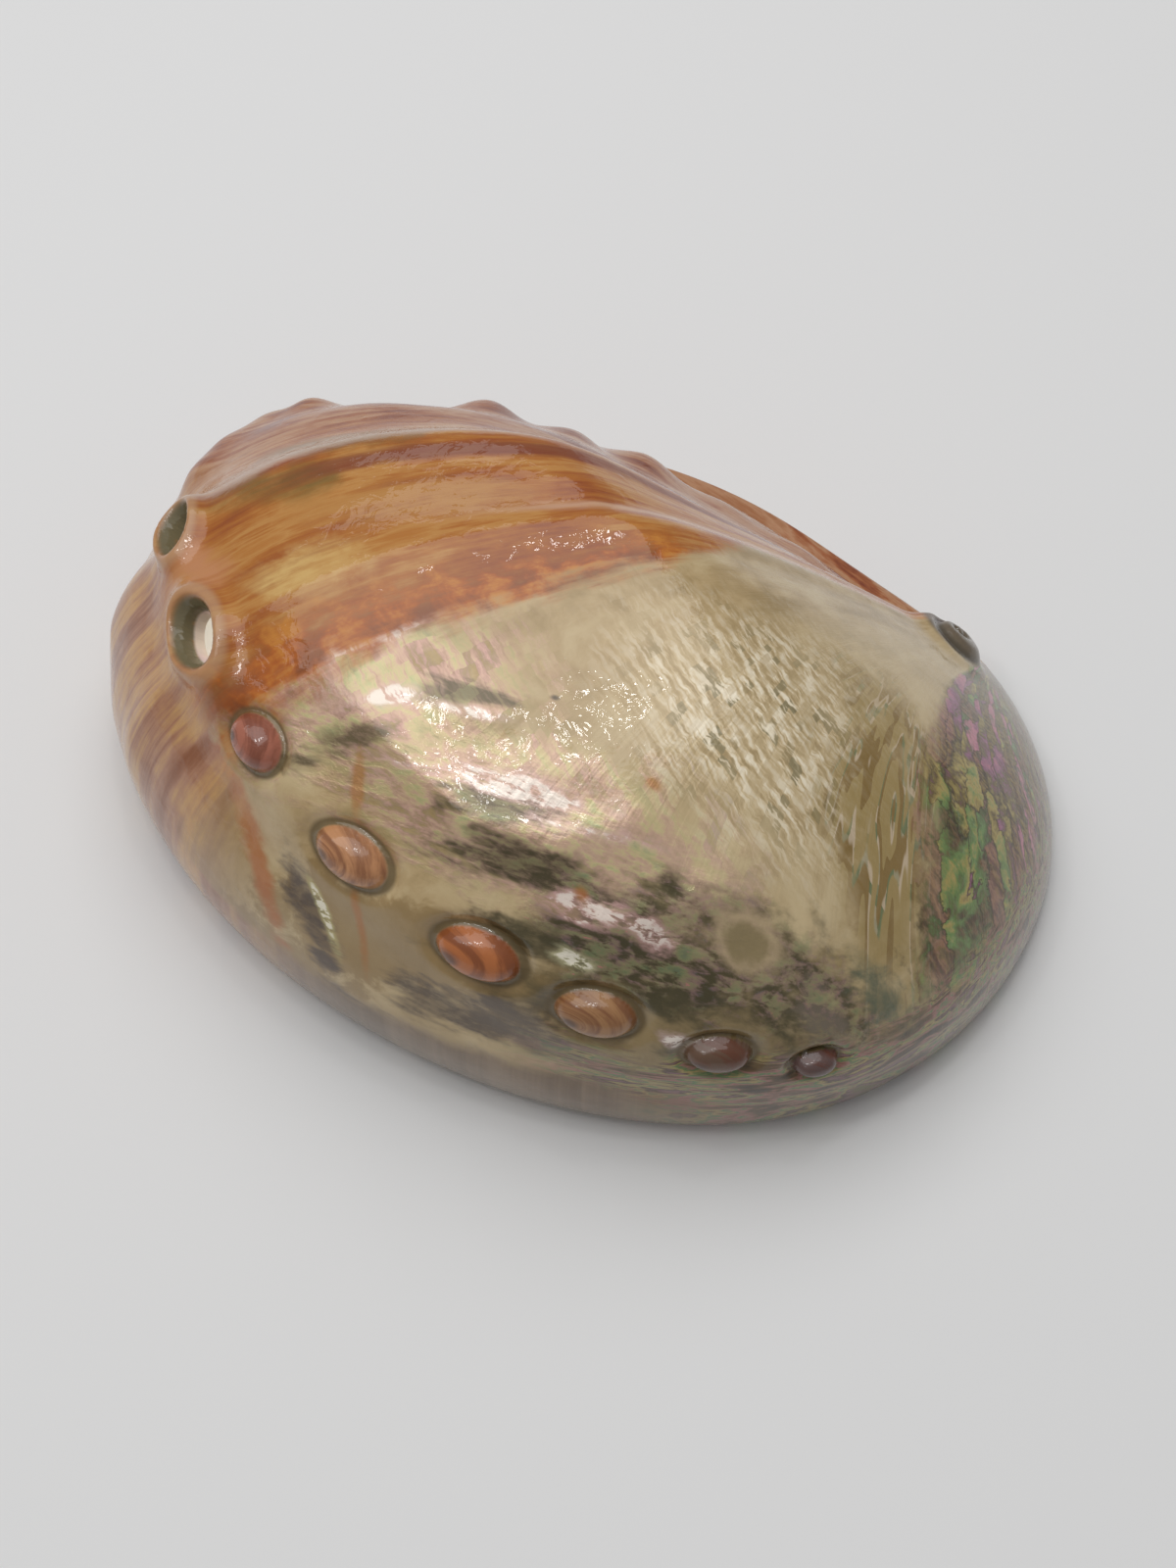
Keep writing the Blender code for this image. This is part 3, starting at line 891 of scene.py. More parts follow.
# Patches of the disc that stand out: place, half length and half width, turn in degrees, and raggedness
Patch = namedtuple("Patch", "x y length width turn ragged colour", defaults=(None,))
LAYER_PATCHES = [
    Patch(-0.52, 0.12, 0.16, 0.06, 22, 4, rgb(116, 88, 36)),
    Patch(-0.56, -0.06, 0.13, 0.045, 25, 4, rgb(124, 94, 30)),
    # Painted sheen: this pale gold patch stands for light on the layer's fine ribs; the other patches are the
    # layer's own colours
    Patch(-0.45, -0.26, 0.11, 0.05, 35, 5, rgb(214, 176, 108)),
    Patch(-0.30, -0.02, 0.20, 0.05, 30, 5, rgb(186, 130, 62)),
    Patch(-0.66, -0.28, 0.05, 0.07, 60, 4, rgb(196, 134, 90)),
]
# Dark patches: those by the row are partly the nacre's own dark olive and partly painted shade, a painted
# dark reflection under the lit ridges; those at the foot and the spire end are its own colours
DARK_AND_SHADE_PATCHES = [
    Patch(0.10, -0.68, 0.16, 0.04, 10, 4, rgb(66, 58, 32)),
    Patch(0.30, -0.74, 0.17, 0.04, 14, 4, rgb(64, 56, 32)),
    Patch(0.44, -0.67, 0.28, 0.085, 22, 3, rgb(76, 68, 40)),
    Patch(-0.13, -0.43, 0.08, 0.022, 25, 5, rgb(98, 86, 58)),
    Patch(-0.25, -0.56, 0.09, 0.022, 28, 5, rgb(104, 90, 62)),
    Patch(0.00, -0.60, 0.11, 0.022, 10, 5, rgb(86, 76, 48)),
    Patch(-0.28, -0.88, 0.08, 0.02, -50, 4, rgb(82, 66, 54)),
    Patch(0.02, -0.93, 0.13, 0.022, 6, 5, rgb(88, 72, 56)),
    Patch(0.83, -0.34, 0.07, 0.06, 60, 4, rgb(72, 58, 24)),
    Patch(0.73, -0.50, 0.04, 0.06, 80, 3, rgb(98, 104, 82)),
    Patch(0.64, -0.62, 0.035, 0.045, 70, 3, rgb(120, 108, 92)),
]
# Painted highlights: bright bands where the lamps would shine on the ridges of the nacre
PAINTED_HIGHLIGHT_PATCHES = [
    Patch(0.02, -0.555, 0.13, 0.020, 8, 5, rgb(226, 188, 178)),
    Patch(0.15, -0.575, 0.09, 0.013, 14, 4, rgb(228, 190, 182)),
    Patch(0.27, -0.685, 0.14, 0.020, 8, 5, rgb(232, 184, 178)),
    Patch(-0.08, -0.445, 0.09, 0.013, 10, 5, rgb(220, 184, 172)),
    Patch(-0.24, -0.48, 0.08, 0.015, 30, 5, rgb(222, 186, 174)),
    Patch(-0.30, -0.38, 0.10, 0.014, 42, 5, rgb(222, 188, 170)),
    Patch(0.19, -0.785, 0.035, 0.010, 10, 4, rgb(216, 210, 166)),
    Patch(0.42, -0.80, 0.04, 0.009, 10, 4, rgb(212, 182, 178)),
    Patch(-0.27, -0.86, 0.05, 0.007, -50, 3, rgb(208, 200, 140)),
]
# A pale blister that grew round something in the dark part, its rim first and then its middle
BLISTER = [
    Patch(0.475, -0.60, 0.060, 0.048, 40, 2.0, rgb(196, 172, 136)),
    Patch(0.475, -0.60, 0.040, 0.032, 40, 2.0, rgb(138, 122, 82)),
]
# Orange stains, and one small pit, its shade painted as a near-black spot
STAINS = [
    Patch(-0.42, -0.78, 0.10, 0.013, -58, 3, rgb(176, 92, 20)),
    Patch(-0.24, -0.65, 0.04, 0.008, -80, 3, rgb(178, 122, 66)),
    Patch(-0.195, -0.865, 0.05, 0.008, -72, 2, rgb(172, 108, 46)),
    Patch(0.25, -0.43, 0.014, 0.011, 0, 2, rgb(186, 128, 72)),
    Patch(0.18, -0.68, 0.012, 0.010, 0, 2, rgb(180, 110, 44)),
    # Painted shade: a near-black spot for the inside of a small pit
    Patch(0.05, -0.35, 0.0075, 0.005, 20, 0, rgb(24, 20, 16)),
]

# Zones of the bare nacre, which have a pattern and no colour of their own
RIPPLE_ZONE = Patch(0.42, -0.20, 0.25, 0.23, 0, 3)
# Where the nacre is flecked, partly with its own pink and green and partly with painted glints
GLITTER_ZONE = Patch(-0.25, -0.45, 0.25, 0.14, 30, 3)
LOW_GLITTER_ZONE = Patch(0.08, -0.58, 0.34, 0.15, 8, 3)
TAN_ZONE = Patch(-0.14, -0.87, 0.34, 0.07, 2, 3)
BANDED_ZONE = Patch(0.66, -0.24, 0.10, 0.30, 14, 2)
# The darker ground of the band below the lit ridges: partly the nacre's own olive and partly painted shade
GROUND_ZONE = Patch(0.42, -0.76, 0.36, 0.12, 14, 2.5)
# Where the dark places are deepest: a painted green reflection lies there, with pink dashes
DEEP_ZONE = Patch(0.40, -0.66, 0.30, 0.09, 20, 2)

# Colours of the outer layer, from the darkest streaks to the palest and a little back
ORANGE_TONES = [
    (0.0, rgb(142, 64, 8)),
    (0.25, rgb(164, 90, 20)),
    (0.5, rgb(176, 108, 34)),
    (0.75, rgb(192, 136, 68)),
    (1.0, rgb(180, 114, 40)),
]
BURNT_TONES = [
    (0.0, rgb(204, 132, 44)),
    (0.4, rgb(178, 92, 12)),
    (1.0, rgb(120, 50, 6)),
]
RUST_TONES = [
    (0.0, rgb(118, 46, 14)),
    (0.35, rgb(158, 90, 46)),
    (0.7, rgb(184, 136, 100)),
    (1.0, rgb(160, 102, 60)),
]
STRIP_TONES = [
    (0.0, rgb(140, 84, 50)),
    (0.3, rgb(172, 122, 92)),
    (0.65, rgb(200, 154, 98)),
    (1.0, rgb(180, 130, 104)),
]
PALE_CREST = rgb(206, 166, 138)
RUST_LINE = rgb(122, 50, 18)
PALE_RIDGE = rgb(178, 142, 112)
DARK_MAUVE, PALE_MAUVE = rgb(116, 94, 70), rgb(142, 120, 96)

# Colours of the nacre
SHEEN_TONES = [
    (0.0, rgb(224, 176, 172)),
    (0.18, rgb(222, 208, 160)),
    (0.38, rgb(184, 202, 146)),
    (0.55, rgb(130, 166, 136)),
    (0.72, rgb(142, 116, 146)),
    (0.86, rgb(206, 146, 168)),
    (1.0, rgb(224, 176, 172)),
]
CREAM_TONES = [
    (0.0, rgb(160, 134, 88)),
    (0.5, rgb(184, 158, 114)),
    (1.0, rgb(202, 180, 138)),
]
RIB_TONES = [
    (0.0, rgb(168, 144, 102)),
    (0.45, rgb(216, 194, 154)),
    (1.0, rgb(255, 244, 220)),
]
SPIRE_END_TONES = [
    (0.0, rgb(206, 130, 150)),
    (0.2, rgb(150, 92, 128)),
    (0.34, rgb(104, 88, 50)),
    (0.5, rgb(186, 166, 96)),
    (0.66, rgb(112, 150, 84)),
    (0.82, rgb(74, 96, 66)),
    (1.0, rgb(206, 130, 150)),
]
FOOT_TONES = [
    (0.0, rgb(58, 44, 26)),
    (0.22, rgb(104, 80, 50)),
    (0.38, rgb(164, 112, 104)),
    (0.5, rgb(86, 122, 74)),
    (0.62, rgb(170, 148, 96)),
    (0.76, rgb(72, 54, 34)),
    (0.88, rgb(130, 92, 96)),
    (1.0, rgb(112, 104, 62)),
]
SILVER_CREAM = rgb(214, 194, 154)
RIB_SLOT = rgb(108, 106, 76)
DARK_OLIVE, PALE_OLIVE = rgb(84, 64, 18), rgb(142, 118, 58)
SPIRE_END_BROWN = rgb(128, 108, 70)
SPIRE_END_DARK = rgb(66, 52, 28)
CELL_OUTLINE = rgb(58, 46, 20)
# The gold under the glitter, which is partly painted glints
GLITTER_GOLD = rgb(200, 176, 122)
TAN = rgb(146, 118, 72)
DARK_BAND, PALE_BAND = rgb(134, 106, 50), rgb(164, 140, 86)
GREEN_OUTLINE, CREAM_OUTLINE = rgb(88, 118, 82), rgb(214, 194, 168)
# The ground of the band below the lit ridges, its darkness partly painted shade
DARK_GROUND, PALE_GROUND = rgb(84, 68, 36), rgb(142, 118, 70)
# Painted reflection: the dark green under the sheen colours in the deepest dark places
PAINTED_REFLECTION_GREEN = rgb(88, 92, 56)
PINK_DASH = rgb(206, 120, 124)
# Painted highlight: the nearly white middle of the ridges' painted highlights
PAINTED_HIGHLIGHT_WHITE = rgb(252, 244, 230)
PEARL_WHITE = rgb(226, 222, 212)

# Colours of the holes and the coil. The sealed plugs run from the growing end to the spire.
PLUG_TONES = [
    (0.0, rgb(172, 104, 82)),
    (0.2, rgb(196, 140, 96)),
    (0.4, rgb(178, 104, 54)),
    (0.6, rgb(164, 120, 78)),
    (0.8, rgb(98, 72, 54)),
    (1.0, rgb(92, 70, 66)),
]
FIRST_PLUG, LAST_PLUG = 2, 7
PLUG_RING, PLUG_EYE = rgb(96, 40, 12), rgb(70, 44, 30)
# Painted shade in the moat round each plug
MOAT_SHADE_BROWN = rgb(92, 74, 40)
OPEN_RIM_TAN = rgb(190, 152, 116)
BORE_OLIVE = rgb(116, 106, 78)
COIL_BROWN, COIL_DARK = rgb(92, 80, 66), rgb(48, 42, 34)

# Growth values: what the outer layer shows along them, and where the dark sheen of the spire end begins
CREST_AT, RUST_LINE_AT, PALE_RIDGE_AT = 0.2, 0.45, 0.58
FAR_SLOPE_FROM, FAR_SLOPE_TO = 0.62, 0.8
SPIRE_END_FROM, SPIRE_END_TO = -1.3, -1.5
# The blocks that break up the nacre, for each unit of growth and of fan
BLOCKS_ACROSS, BLOCKS_ALONG = 38, 44

# The finish: a satin shell under a clear and slightly wavy coat
NACRE_METAL, LIVELY_METAL, LAYER_METAL = 0.04, 0.17, 0.02
NACRE_ROUGHNESS, LIVELY_SMOOTHING, LAYER_ROUGHNESS = 0.42, 0.12, 0.46
SPECULAR = 0.3
COAT_WEIGHT, COAT_ROUGHNESS = 0.8, 0.03
RELIEF_DEPTH, RELIEF_STRENGTH = 0.35 * MM, 0.6
WAVE_DEPTH, WAVE_STRENGTH, WAVES_PER_METRE = 0.2 * MM, 1.0, 330


def layer_colour(where):
    """The orange-brown layer that polishing left at the growing end, in streaks along the growth lines."""
    tree, growth, fan = where.x.tree, where.growth, where.fan
    broad = streaks(tree, growth * 9, fan * 1.3, 0.0, detail=5)
    fine = streaks(tree, growth * 45, fan * 3.5, 4.0)
    knots = streaks(tree, growth * 13, fan * 8, 9.0, distortion=0.3)
    blotch = noise_field(tree, where.place, 90, 5, 0.6)
    tone = broad * 0.5 + fine * 0.3 + blotch * 0.2
    colour = ramp(tree, smooth_step(tone, 0.37, 0.65), ORANGE_TONES)
    wobble = knots * 0.45 + blotch * 0.45 + fine * 0.1
    uneven = 0.45 + smooth_step(fine * 0.5 + knots * 0.5, 0.40, 0.56) * 0.5
    # The layer's own patches, and one painted sheen
    colour = patched(where, colour, wobble, LAYER_PATCHES, uneven, 0.5)
    burnt = smooth_step(growth + (knots - 0.5) * 0.3, 0.09, -0.02) * smooth_step(fan, 0.9, 0.5)
    burnt_colour = ramp(tree, smooth_step(knots * 0.7 + fine * 0.3, 0.38, 0.62), BURNT_TONES)
    colour = mixed(tree, burnt * 0.85, colour, burnt_colour)
    crest = smooth_step(size_of(growth - CREST_AT - (broad - 0.5) * 0.12), 0.035, 0.0)
    colour = mixed(tree, crest * smooth_step(fan, -0.1, 0.4) * 0.75, colour, PALE_CREST)
    line = smooth_step(size_of(growth - RUST_LINE_AT - (broad - 0.5) * 0.14), 0.045, 0.01)
    colour = mixed(tree, line * smooth_step(fan, -0.5, -0.1) * 0.85, colour, RUST_LINE)
    pale = smooth_step(size_of(growth - PALE_RIDGE_AT - (blotch - 0.5) * 0.12), 0.08, 0.02)
    colour = mixed(tree, pale * 0.8, colour, PALE_RIDGE)
    far = smooth_step(growth + (broad - 0.5) * 0.3, FAR_SLOPE_FROM, FAR_SLOPE_TO)
    colour = mixed(tree, far, colour, ramp(tree, smooth_step(tone, 0.4, 0.62), RUST_TONES))
    return mixed(tree, strip_share(where, blotch), colour, strip_colour(where, tone)), tone


def strip_share(where, blotch):
    """The strip of the layer between the row of holes and the margin."""
    beyond_row = smooth_step(where.row + (blotch - 0.5) * 0.06, 0.03, 0.09)
    return beyond_row * smooth_step(where.growth, 0.9, 0.5)


def strip_colour(where, tone):
    """Pink and gold at the growing end, and mauve further on."""
    tree = where.x.tree
    strip = ramp(tree, smooth_step(tone, 0.38, 0.64), STRIP_TONES)
    mauve = mixed(tree, smooth_step(tone, 0.42, 0.6), DARK_MAUVE, PALE_MAUVE)
    return mixed(tree, smooth_step(where.growth, -0.08, -0.3), strip, mauve)


def nacre_grain(where):
    """The noises of bare nacre. Its blocks and stripes follow growth above the row, and the flank below."""
    tree, growth, fan = where.x.tree, where.growth, where.fan
    broad = streaks(tree, growth * 5, fan * 2.0, 7.0, roughness=0.55)
    blotch = noise_field(tree, where.place, 130, 5, 0.62, 0.4)
    block_growth = stepped(growth + (blotch - 0.5) * 0.04, BLOCKS_ACROSS) * 15
    block_fan = stepped(fan + (broad - 0.5) * 0.1, BLOCKS_ALONG) * 11
    steps = streaks(tree, block_growth, block_fan, 2.0, detail=2)
    waves = noise_field(tree, where.place, 500, 2, 0.5)
    stripes = streaks(tree, growth * 12, fan * 52 + waves * 1.6, 5.0, detail=3)
    low_flank = smooth_step(where.y, -0.42, -0.6)
    steps = blended(low_flank, steps, flank_noise(where, 170, 420))
    stripes = blended(low_flank, stripes, flank_noise(where, 320, 1000))
    return Grain(broad, blotch, steps, stripes)


def sheen_colours(tree, phase):
    """The colours that thin layers of nacre run through, over and over."""
    return ramp(tree, math_node(tree, "FRACT", phase), SHEEN_TONES)


def cream_colour(where, grain):
    """The smooth top of the dome, paler towards the spire."""
    tree = where.x.tree
    cream = ramp(tree, smooth_step(grain.broad * 0.5 + grain.blotch * 0.5, 0.36, 0.66), CREAM_TONES)
    return mixed(tree, smooth_step(where.growth, -0.2, -0.7) * 0.5, cream, SILVER_CREAM)


def ripple_colour(tree, grain, cream):
    """Fine silvery ribs, broken into blocks, with grey-green slots."""
    ribs = ramp(tree, smooth_step(grain.stripes, 0.36, 0.64), RIB_TONES)
    ribs = mixed(tree, 0.35 + smooth_step(grain.steps, 0.4, 0.55) * 0.6, cream, ribs)
    slots = smooth_step(grain.steps, 0.56, 0.6) * smooth_step(grain.stripes, 0.56, 0.5)
    return mixed(tree, slots * 0.7, ribs, RIB_SLOT)


def glitter_colour(tree, grain):
    """Small spots of every sheen, over gold: partly the nacre's own pink and green, partly painted glints."""
    phase = grain.steps * 2.0 + grain.stripes * 1.3 + grain.blotch * 0.8
    return mixed(tree, 0.3, sheen_colours(tree, phase), GLITTER_GOLD)


def banded_colour(where, grain):
    """Olive-brown bands along the growth lines, outlined in green and cream."""
    tree = where.x.tree
    bent = streaks(tree, where.growth * 5, where.fan * 1.1, 8.0, detail=3, roughness=0.55)
    phase = math_node(tree, "FRACT", bent * 9)
    band = mixed(tree, smooth_step(phase, 0.45, 0.55), DARK_BAND, PALE_BAND)
    outline = smooth_step(size_of(phase - 0.5), 0.12, 0.03)
    outline_colour = mixed(tree, smooth_step(grain.steps, 0.45, 0.55), GREEN_OUTLINE, CREAM_OUTLINE)
    return mixed(tree, outline * 0.8, band, outline_colour)


def with_dark_places_and_painted_shade(where, grain, colour, wobble, deep):
    """Adds dark places near the row, partly the nacre's own dark olive and partly painted shade, with a
    painted green reflection and small pink dashes in the deepest.
    """
    tree, steps, stripes = where.x.tree, grain.steps, grain.stripes
    both = steps * 0.5 + stripes * 0.5
    # The dark places, partly painted shade
    dark_wobble = (flank_noise(where, 60, 190) - 0.5) * 1.3 + (wobble - 0.5) * 0.25 + 0.5
    strength = blended(smooth_step(both, 0.42, 0.60), 0.95, 0.65)
    colour = patched(where, colour, dark_wobble, DARK_AND_SHADE_PATCHES, strength, 0.6)
    # Painted reflection: a green sheen over the deepest dark places
    painted_reflection = mixed(tree, 0.55, sheen_colours(tree, steps * 2.4 + grain.broad * 1.5), PAINTED_REFLECTION_GREEN)
    colour = mixed(tree, deep * smooth_step(both, 0.44, 0.56) * 0.55, colour, painted_reflection)
    dashes = smooth_step(stripes, 0.62, 0.7) * smooth_step(steps, 0.5, 0.6)
    return mixed(tree, dashes * deep * 0.7, colour, PINK_DASH)


def with_painted_ridge_highlights(where, grain, colour, wobble):
    """Adds painted highlights on the ridges of the nacre, pink at their torn edges and nearly white within.
    """
    tree = where.x.tree
    breaks = 0.25 + smooth_step(grain.stripes * 0.7 + grain.blotch * 0.3, 0.40, 0.52) * 0.75
    for patch in PAINTED_HIGHLIGHT_PATCHES:
        mask = turned_patch(where, wobble, patch, 0.6) * breaks
        colour = mixed(tree, mask * 0.8, colour, patch.colour)
        colour = mixed(tree, smooth_step(mask, 0.6, 1.0) * 0.7, colour, PAINTED_HIGHLIGHT_WHITE)
    return colour


def spire_end_colour(where, grain):
    """Long cells along the growth lines, each with its own sheen and a dark outline."""
    tree, blotch = where.x.tree, grain.blotch
    across = where.growth * 6 + (blotch - 0.5) * 2.4
    cell, gap = cell_fields(tree, vector_of(tree, across, where.fan * 2.6 + blotch * 1.5, 3.0))
    phase = math_node(tree, "FRACT", cell * 1.7 + blotch * 1.6 + grain.stripes * 0.3)
    sheen = mixed(tree, 0.1, ramp(tree, phase, SPIRE_END_TONES), SPIRE_END_BROWN)
    olive = mixed(tree, smooth_step(grain.stripes, 0.4, 0.6), DARK_OLIVE, PALE_OLIVE)
    colour = mixed(tree, smooth_step(cell * 0.6 + blotch * 0.8, 0.60, 0.84) * 0.9, sheen, olive)
    colour = mixed(tree, smooth_step(blotch, 0.56, 0.66) * 0.55, colour, SPIRE_END_DARK)
    return mixed(tree, smooth_step(gap, 0.05, 0.01) * 0.7, colour, CELL_OUTLINE)


def foot_colour(where, blotch):
    """Streaks along the margin at the spire end: dark mauve, green and pink."""
    tree = where.x.tree
    along = streaks(tree, where.growth * 4, where.edge * 75, 6.0, distortion=0.4)
    return ramp(tree, smooth_step(along * 0.8 + blotch * 0.2, 0.34, 0.68), FOOT_TONES)


def nacre_colour(where, grain):
    """Bare nacre: cream on top, glitter at the flank, ribs in the middle and a dark sheen by the spire, with
    painted highlights and painted shade by the row.

    It returns the colour, and how lively the nacre is, from 0 for plain cream to 1 for a full sheen.
    """
    tree, growth = where.x.tree, where.growth
    broad, blotch, steps, stripes = grain
    wobble = steps * 0.6 + blotch * 0.4
    torn = (wobble - 0.5) * 0.9 + (noise_field(tree, where.place, 60, 3, 0.5) - 0.5) * 0.9 + 0.5
    cream = cream_colour(where, grain)
    ripple = turned_patch(where, wobble, RIPPLE_ZONE, 0.6)
    colour = mixed(tree, ripple * 0.9, cream, ripple_colour(tree, grain, cream))
    # Glitter: partly the nacre's own sheen colours, partly painted glints
    glitter = turned_patch(where, wobble, GLITTER_ZONE, 0.6)
    low = turned_patch(where, wobble, LOW_GLITTER_ZONE, 0.4)
    spots = smooth_step(steps * 0.45 + stripes * 0.4 + blotch * 0.15, 0.38, 0.52)
    share = larger_of(glitter, low * 0.8) * spots
    colour = mixed(tree, share * 0.85, colour, glitter_colour(tree, grain))
    colour = mixed(tree, turned_patch(where, blotch, TAN_ZONE) * 0.7, colour, TAN)
    bands = turned_patch(where, blotch, BANDED_ZONE, 0.6)
    colour = mixed(tree, bands * 0.9, colour, banded_colour(where, grain))
    # Partly painted shade: the darker band below the lit ridges and the dark places by the row, over the
    # nacre's own dark olive
    ground = turned_patch(where, torn, GROUND_ZONE, 0.5)
    colour = mixed(tree, ground * 0.75, colour, mixed(tree, broad, DARK_GROUND, PALE_GROUND))
    deep = turned_patch(where, blotch, DEEP_ZONE)
    colour = with_dark_places_and_painted_shade(where, grain, colour, wobble, deep)
    colour = patched(where, colour, blotch, BLISTER, 0.75, 0.25)
    # Painted highlights on the ridges of the nacre
    colour = with_painted_ridge_highlights(where, grain, colour, torn)
    uneven = (blotch - 0.5) * 0.3 + (broad - 0.5) * 0.3
    end = smooth_step(growth + uneven, SPIRE_END_FROM, SPIRE_END_TO)
    colour = mixed(tree, end, colour, spire_end_colour(where, grain))
    foot = smooth_step(where.edge + (blotch - 0.5) * 0.12, 0.905, 0.94) * smooth_step(growth, -0.45, -0.65)
    colour = mixed(tree, foot, colour, foot_colour(where, blotch))
    colour = patched(where, colour, torn, STAINS, 0.75, 0.7)
    return colour, limited(ripple * 0.5 + glitter + low + end + deep)


def covered_share(where, tone, blotch):
    """Where the outer layer still covers the nacre: the growing end, beyond the row, and the foot."""
    growth = where.growth
    boundary = smooth_step(where.fan, 0.5, 1.1) * 0.2 - 0.09
    uneven = (tone - 0.5) * 0.3 + (blotch - 0.5) * 0.14
    growing = smooth_step(growth + uneven - boundary, -0.01, 0.07)
    beyond_row = smooth_step(where.row + (blotch - 0.5) * 0.08, 0.05, 0.08) * smooth_step(growth, -0.2, 0.0)
    foot = smooth_step(where.edge + (blotch - 0.5) * 0.03, 0.965, 0.98) * smooth_step(growth, -0.9, -0.6)
    return limited(growing + beyond_row + foot)


def plug_colour(tree):
    """Each sealed hole's plug: small growth rings around its upper corner, redder at the growing end."""
    number = attribute(tree, "number")
    along, across = attribute(tree, "plug_along"), attribute(tree, "plug_across")
    u, v = along + 0.55, across + 0.25
    ring = root(u * u + v * v)
    rings = streaks(tree, ring * 3.2, number * 3.7, across * 0.5, distortion=0.3)
    base = ramp(tree, (number - FIRST_PLUG) / (LAST_PLUG - FIRST_PLUG), PLUG_TONES)
    colour = mixed(tree, smooth_step(rings, 0.4, 0.62), base, mixed(tree, 0.62, base, PLUG_RING))
    return mixed(tree, smooth_step(ring, 0.32, 0.1) * 0.75, colour, PLUG_EYE)


def with_holes(tree, colour):
    """Adds the moats with painted shade in them, the plugs, rims and bores, and returns where the plugs are
    too.
    """
    hole, opened = attribute(tree, "hole"), attribute(tree, "open")
    # Painted shade: the moat round each plug is darkened
    moat = smooth_step(size_of(hole - 1.13), 0.22, 0.05) * (1 - opened)
    colour = mixed(tree, moat * 0.8, colour, MOAT_SHADE_BROWN)
    plug = smooth_step(hole, 1.06, 0.98) * (1 - opened)
    colour = mixed(tree, plug, colour, plug_colour(tree))
    rim = smooth_step(size_of(hole - 1.35), 0.35, 0.1) * opened
    colour = mixed(tree, rim * 0.6, colour, OPEN_RIM_TAN)
    bore = smooth_step(hole, 1.2, 1.0) * opened
    return mixed(tree, bore, colour, BORE_OLIVE), plug


def with_coil(tree, colour):
    """Adds the dark coil of the spire, and returns where it is too."""
    share = smooth_step(attribute(tree, "coil"), 1.25, 1.0)
    groove = smooth_step(attribute(tree, "coil_groove"), 0.7, 0.98)
    return mixed(tree, share * 0.9, colour, mixed(tree, groove, COIL_BROWN, COIL_DARK)), share


def pearl_colour(where):
    """The pearly inside, in wide pale clouds."""
    tree = where.x.tree
    clouds = noise_field(tree, where.place, 22, 4, 0.5, 1.2)
    return mixed(tree, 0.5, sheen_colours(tree, clouds * 2.5), PEARL_WHITE)


def bumped(tree, height, depth, strength):
    node = tree.nodes.new("ShaderNodeBump")
    node.inputs["Distance"].default_value = depth
    node.inputs["Strength"].default_value = strength
    plug_in(tree, height, node.inputs["Height"])
    return node.outputs[0]


def shell_material():
    """The finish of the whole shell."""
    material = bpy.data.materials.new("polished_shell")
    material.use_nodes = True
    tree = material.node_tree
    surface = tree.nodes["Principled BSDF"]
    names = ("disc_x", "disc_y", "growth", "fan", "edge", "row")
    where = Where(object_place(tree), *(attribute(tree, name) for name in names))
    grain = nacre_grain(where)
    layer, tone = layer_colour(where)
    nacre, lively = nacre_colour(where, grain)
    covered = covered_share(where, tone, grain.blotch)
    colour, plug = with_holes(tree, mixed(tree, covered, nacre, layer))
    colour, coil = with_coil(tree, colour)
    inside = smooth_step(attribute(tree, "inside"), 0.4, 0.6)
    plug_in(tree, mixed(tree, inside, colour, pearl_colour(where)), surface.inputs["Base Color"])
    metal = blended(covered, NACRE_METAL + lively * LIVELY_METAL, LAYER_METAL)
    plug_in(tree, metal * (1 - plug) * (1 - coil), surface.inputs["Metallic"])
    roughness = blended(covered, NACRE_ROUGHNESS - lively * LIVELY_SMOOTHING, LAYER_ROUGHNESS)
    plug_in(tree, roughness, surface.inputs["Roughness"])
    surface.inputs["Specular IOR Level"].default_value = SPECULAR
    surface.inputs["Coat Weight"].default_value = COAT_WEIGHT
    surface.inputs["Coat Roughness"].default_value = COAT_ROUGHNESS
    lines = streaks(tree, where.growth * 120, where.fan * 6, 1.0, detail=3, roughness=0.5)
    ribs = (grain.stripes * 0.5 + grain.steps * 0.6) * lively * (1 - covered)
    relief = bumped(tree, lines * 0.3 + ribs + grain.blotch * 0.3, RELIEF_DEPTH, RELIEF_STRENGTH)
    plug_in(tree, relief, surface.inputs["Normal"])
    wave = noise_field(tree, where.place, WAVES_PER_METRE, 3, 0.5, 0.6)
    plug_in(tree, bumped(tree, wave, WAVE_DEPTH, WAVE_STRENGTH), surface.inputs["Coat Normal"])
    return material


class ShellShape(bpy.types.PropertyGroup):
    """The sizes of the shell."""

    half_length: FloatProperty(
        name="Half Length",
        description="Half the length of the disc that the outline is stretched from",
        default=82.5 * MM,
        unit="LENGTH",
    )
    near_half_width: FloatProperty(
        name="Near Half Width",
        description="From the middle to the flank with the row of holes",
        default=69 * MM,
        unit="LENGTH",
    )
    far_half_width: FloatProperty(
        name="Far Half Width",
        description="From the middle to the folded flank",
        default=60.5 * MM,
        unit="LENGTH",
    )
    height: FloatProperty(
        name="Height",
        description="From the ground to the summit, without the relief",
        default=54.5 * MM,
        unit="LENGTH",
    )
    columns: IntProperty(
        name="Columns", description="Columns of the outside's mesh", default=COLUMNS, min=32
    )
    rows: IntProperty(name="Rows", description="Rows of the outside's mesh", default=ROWS, min=32)


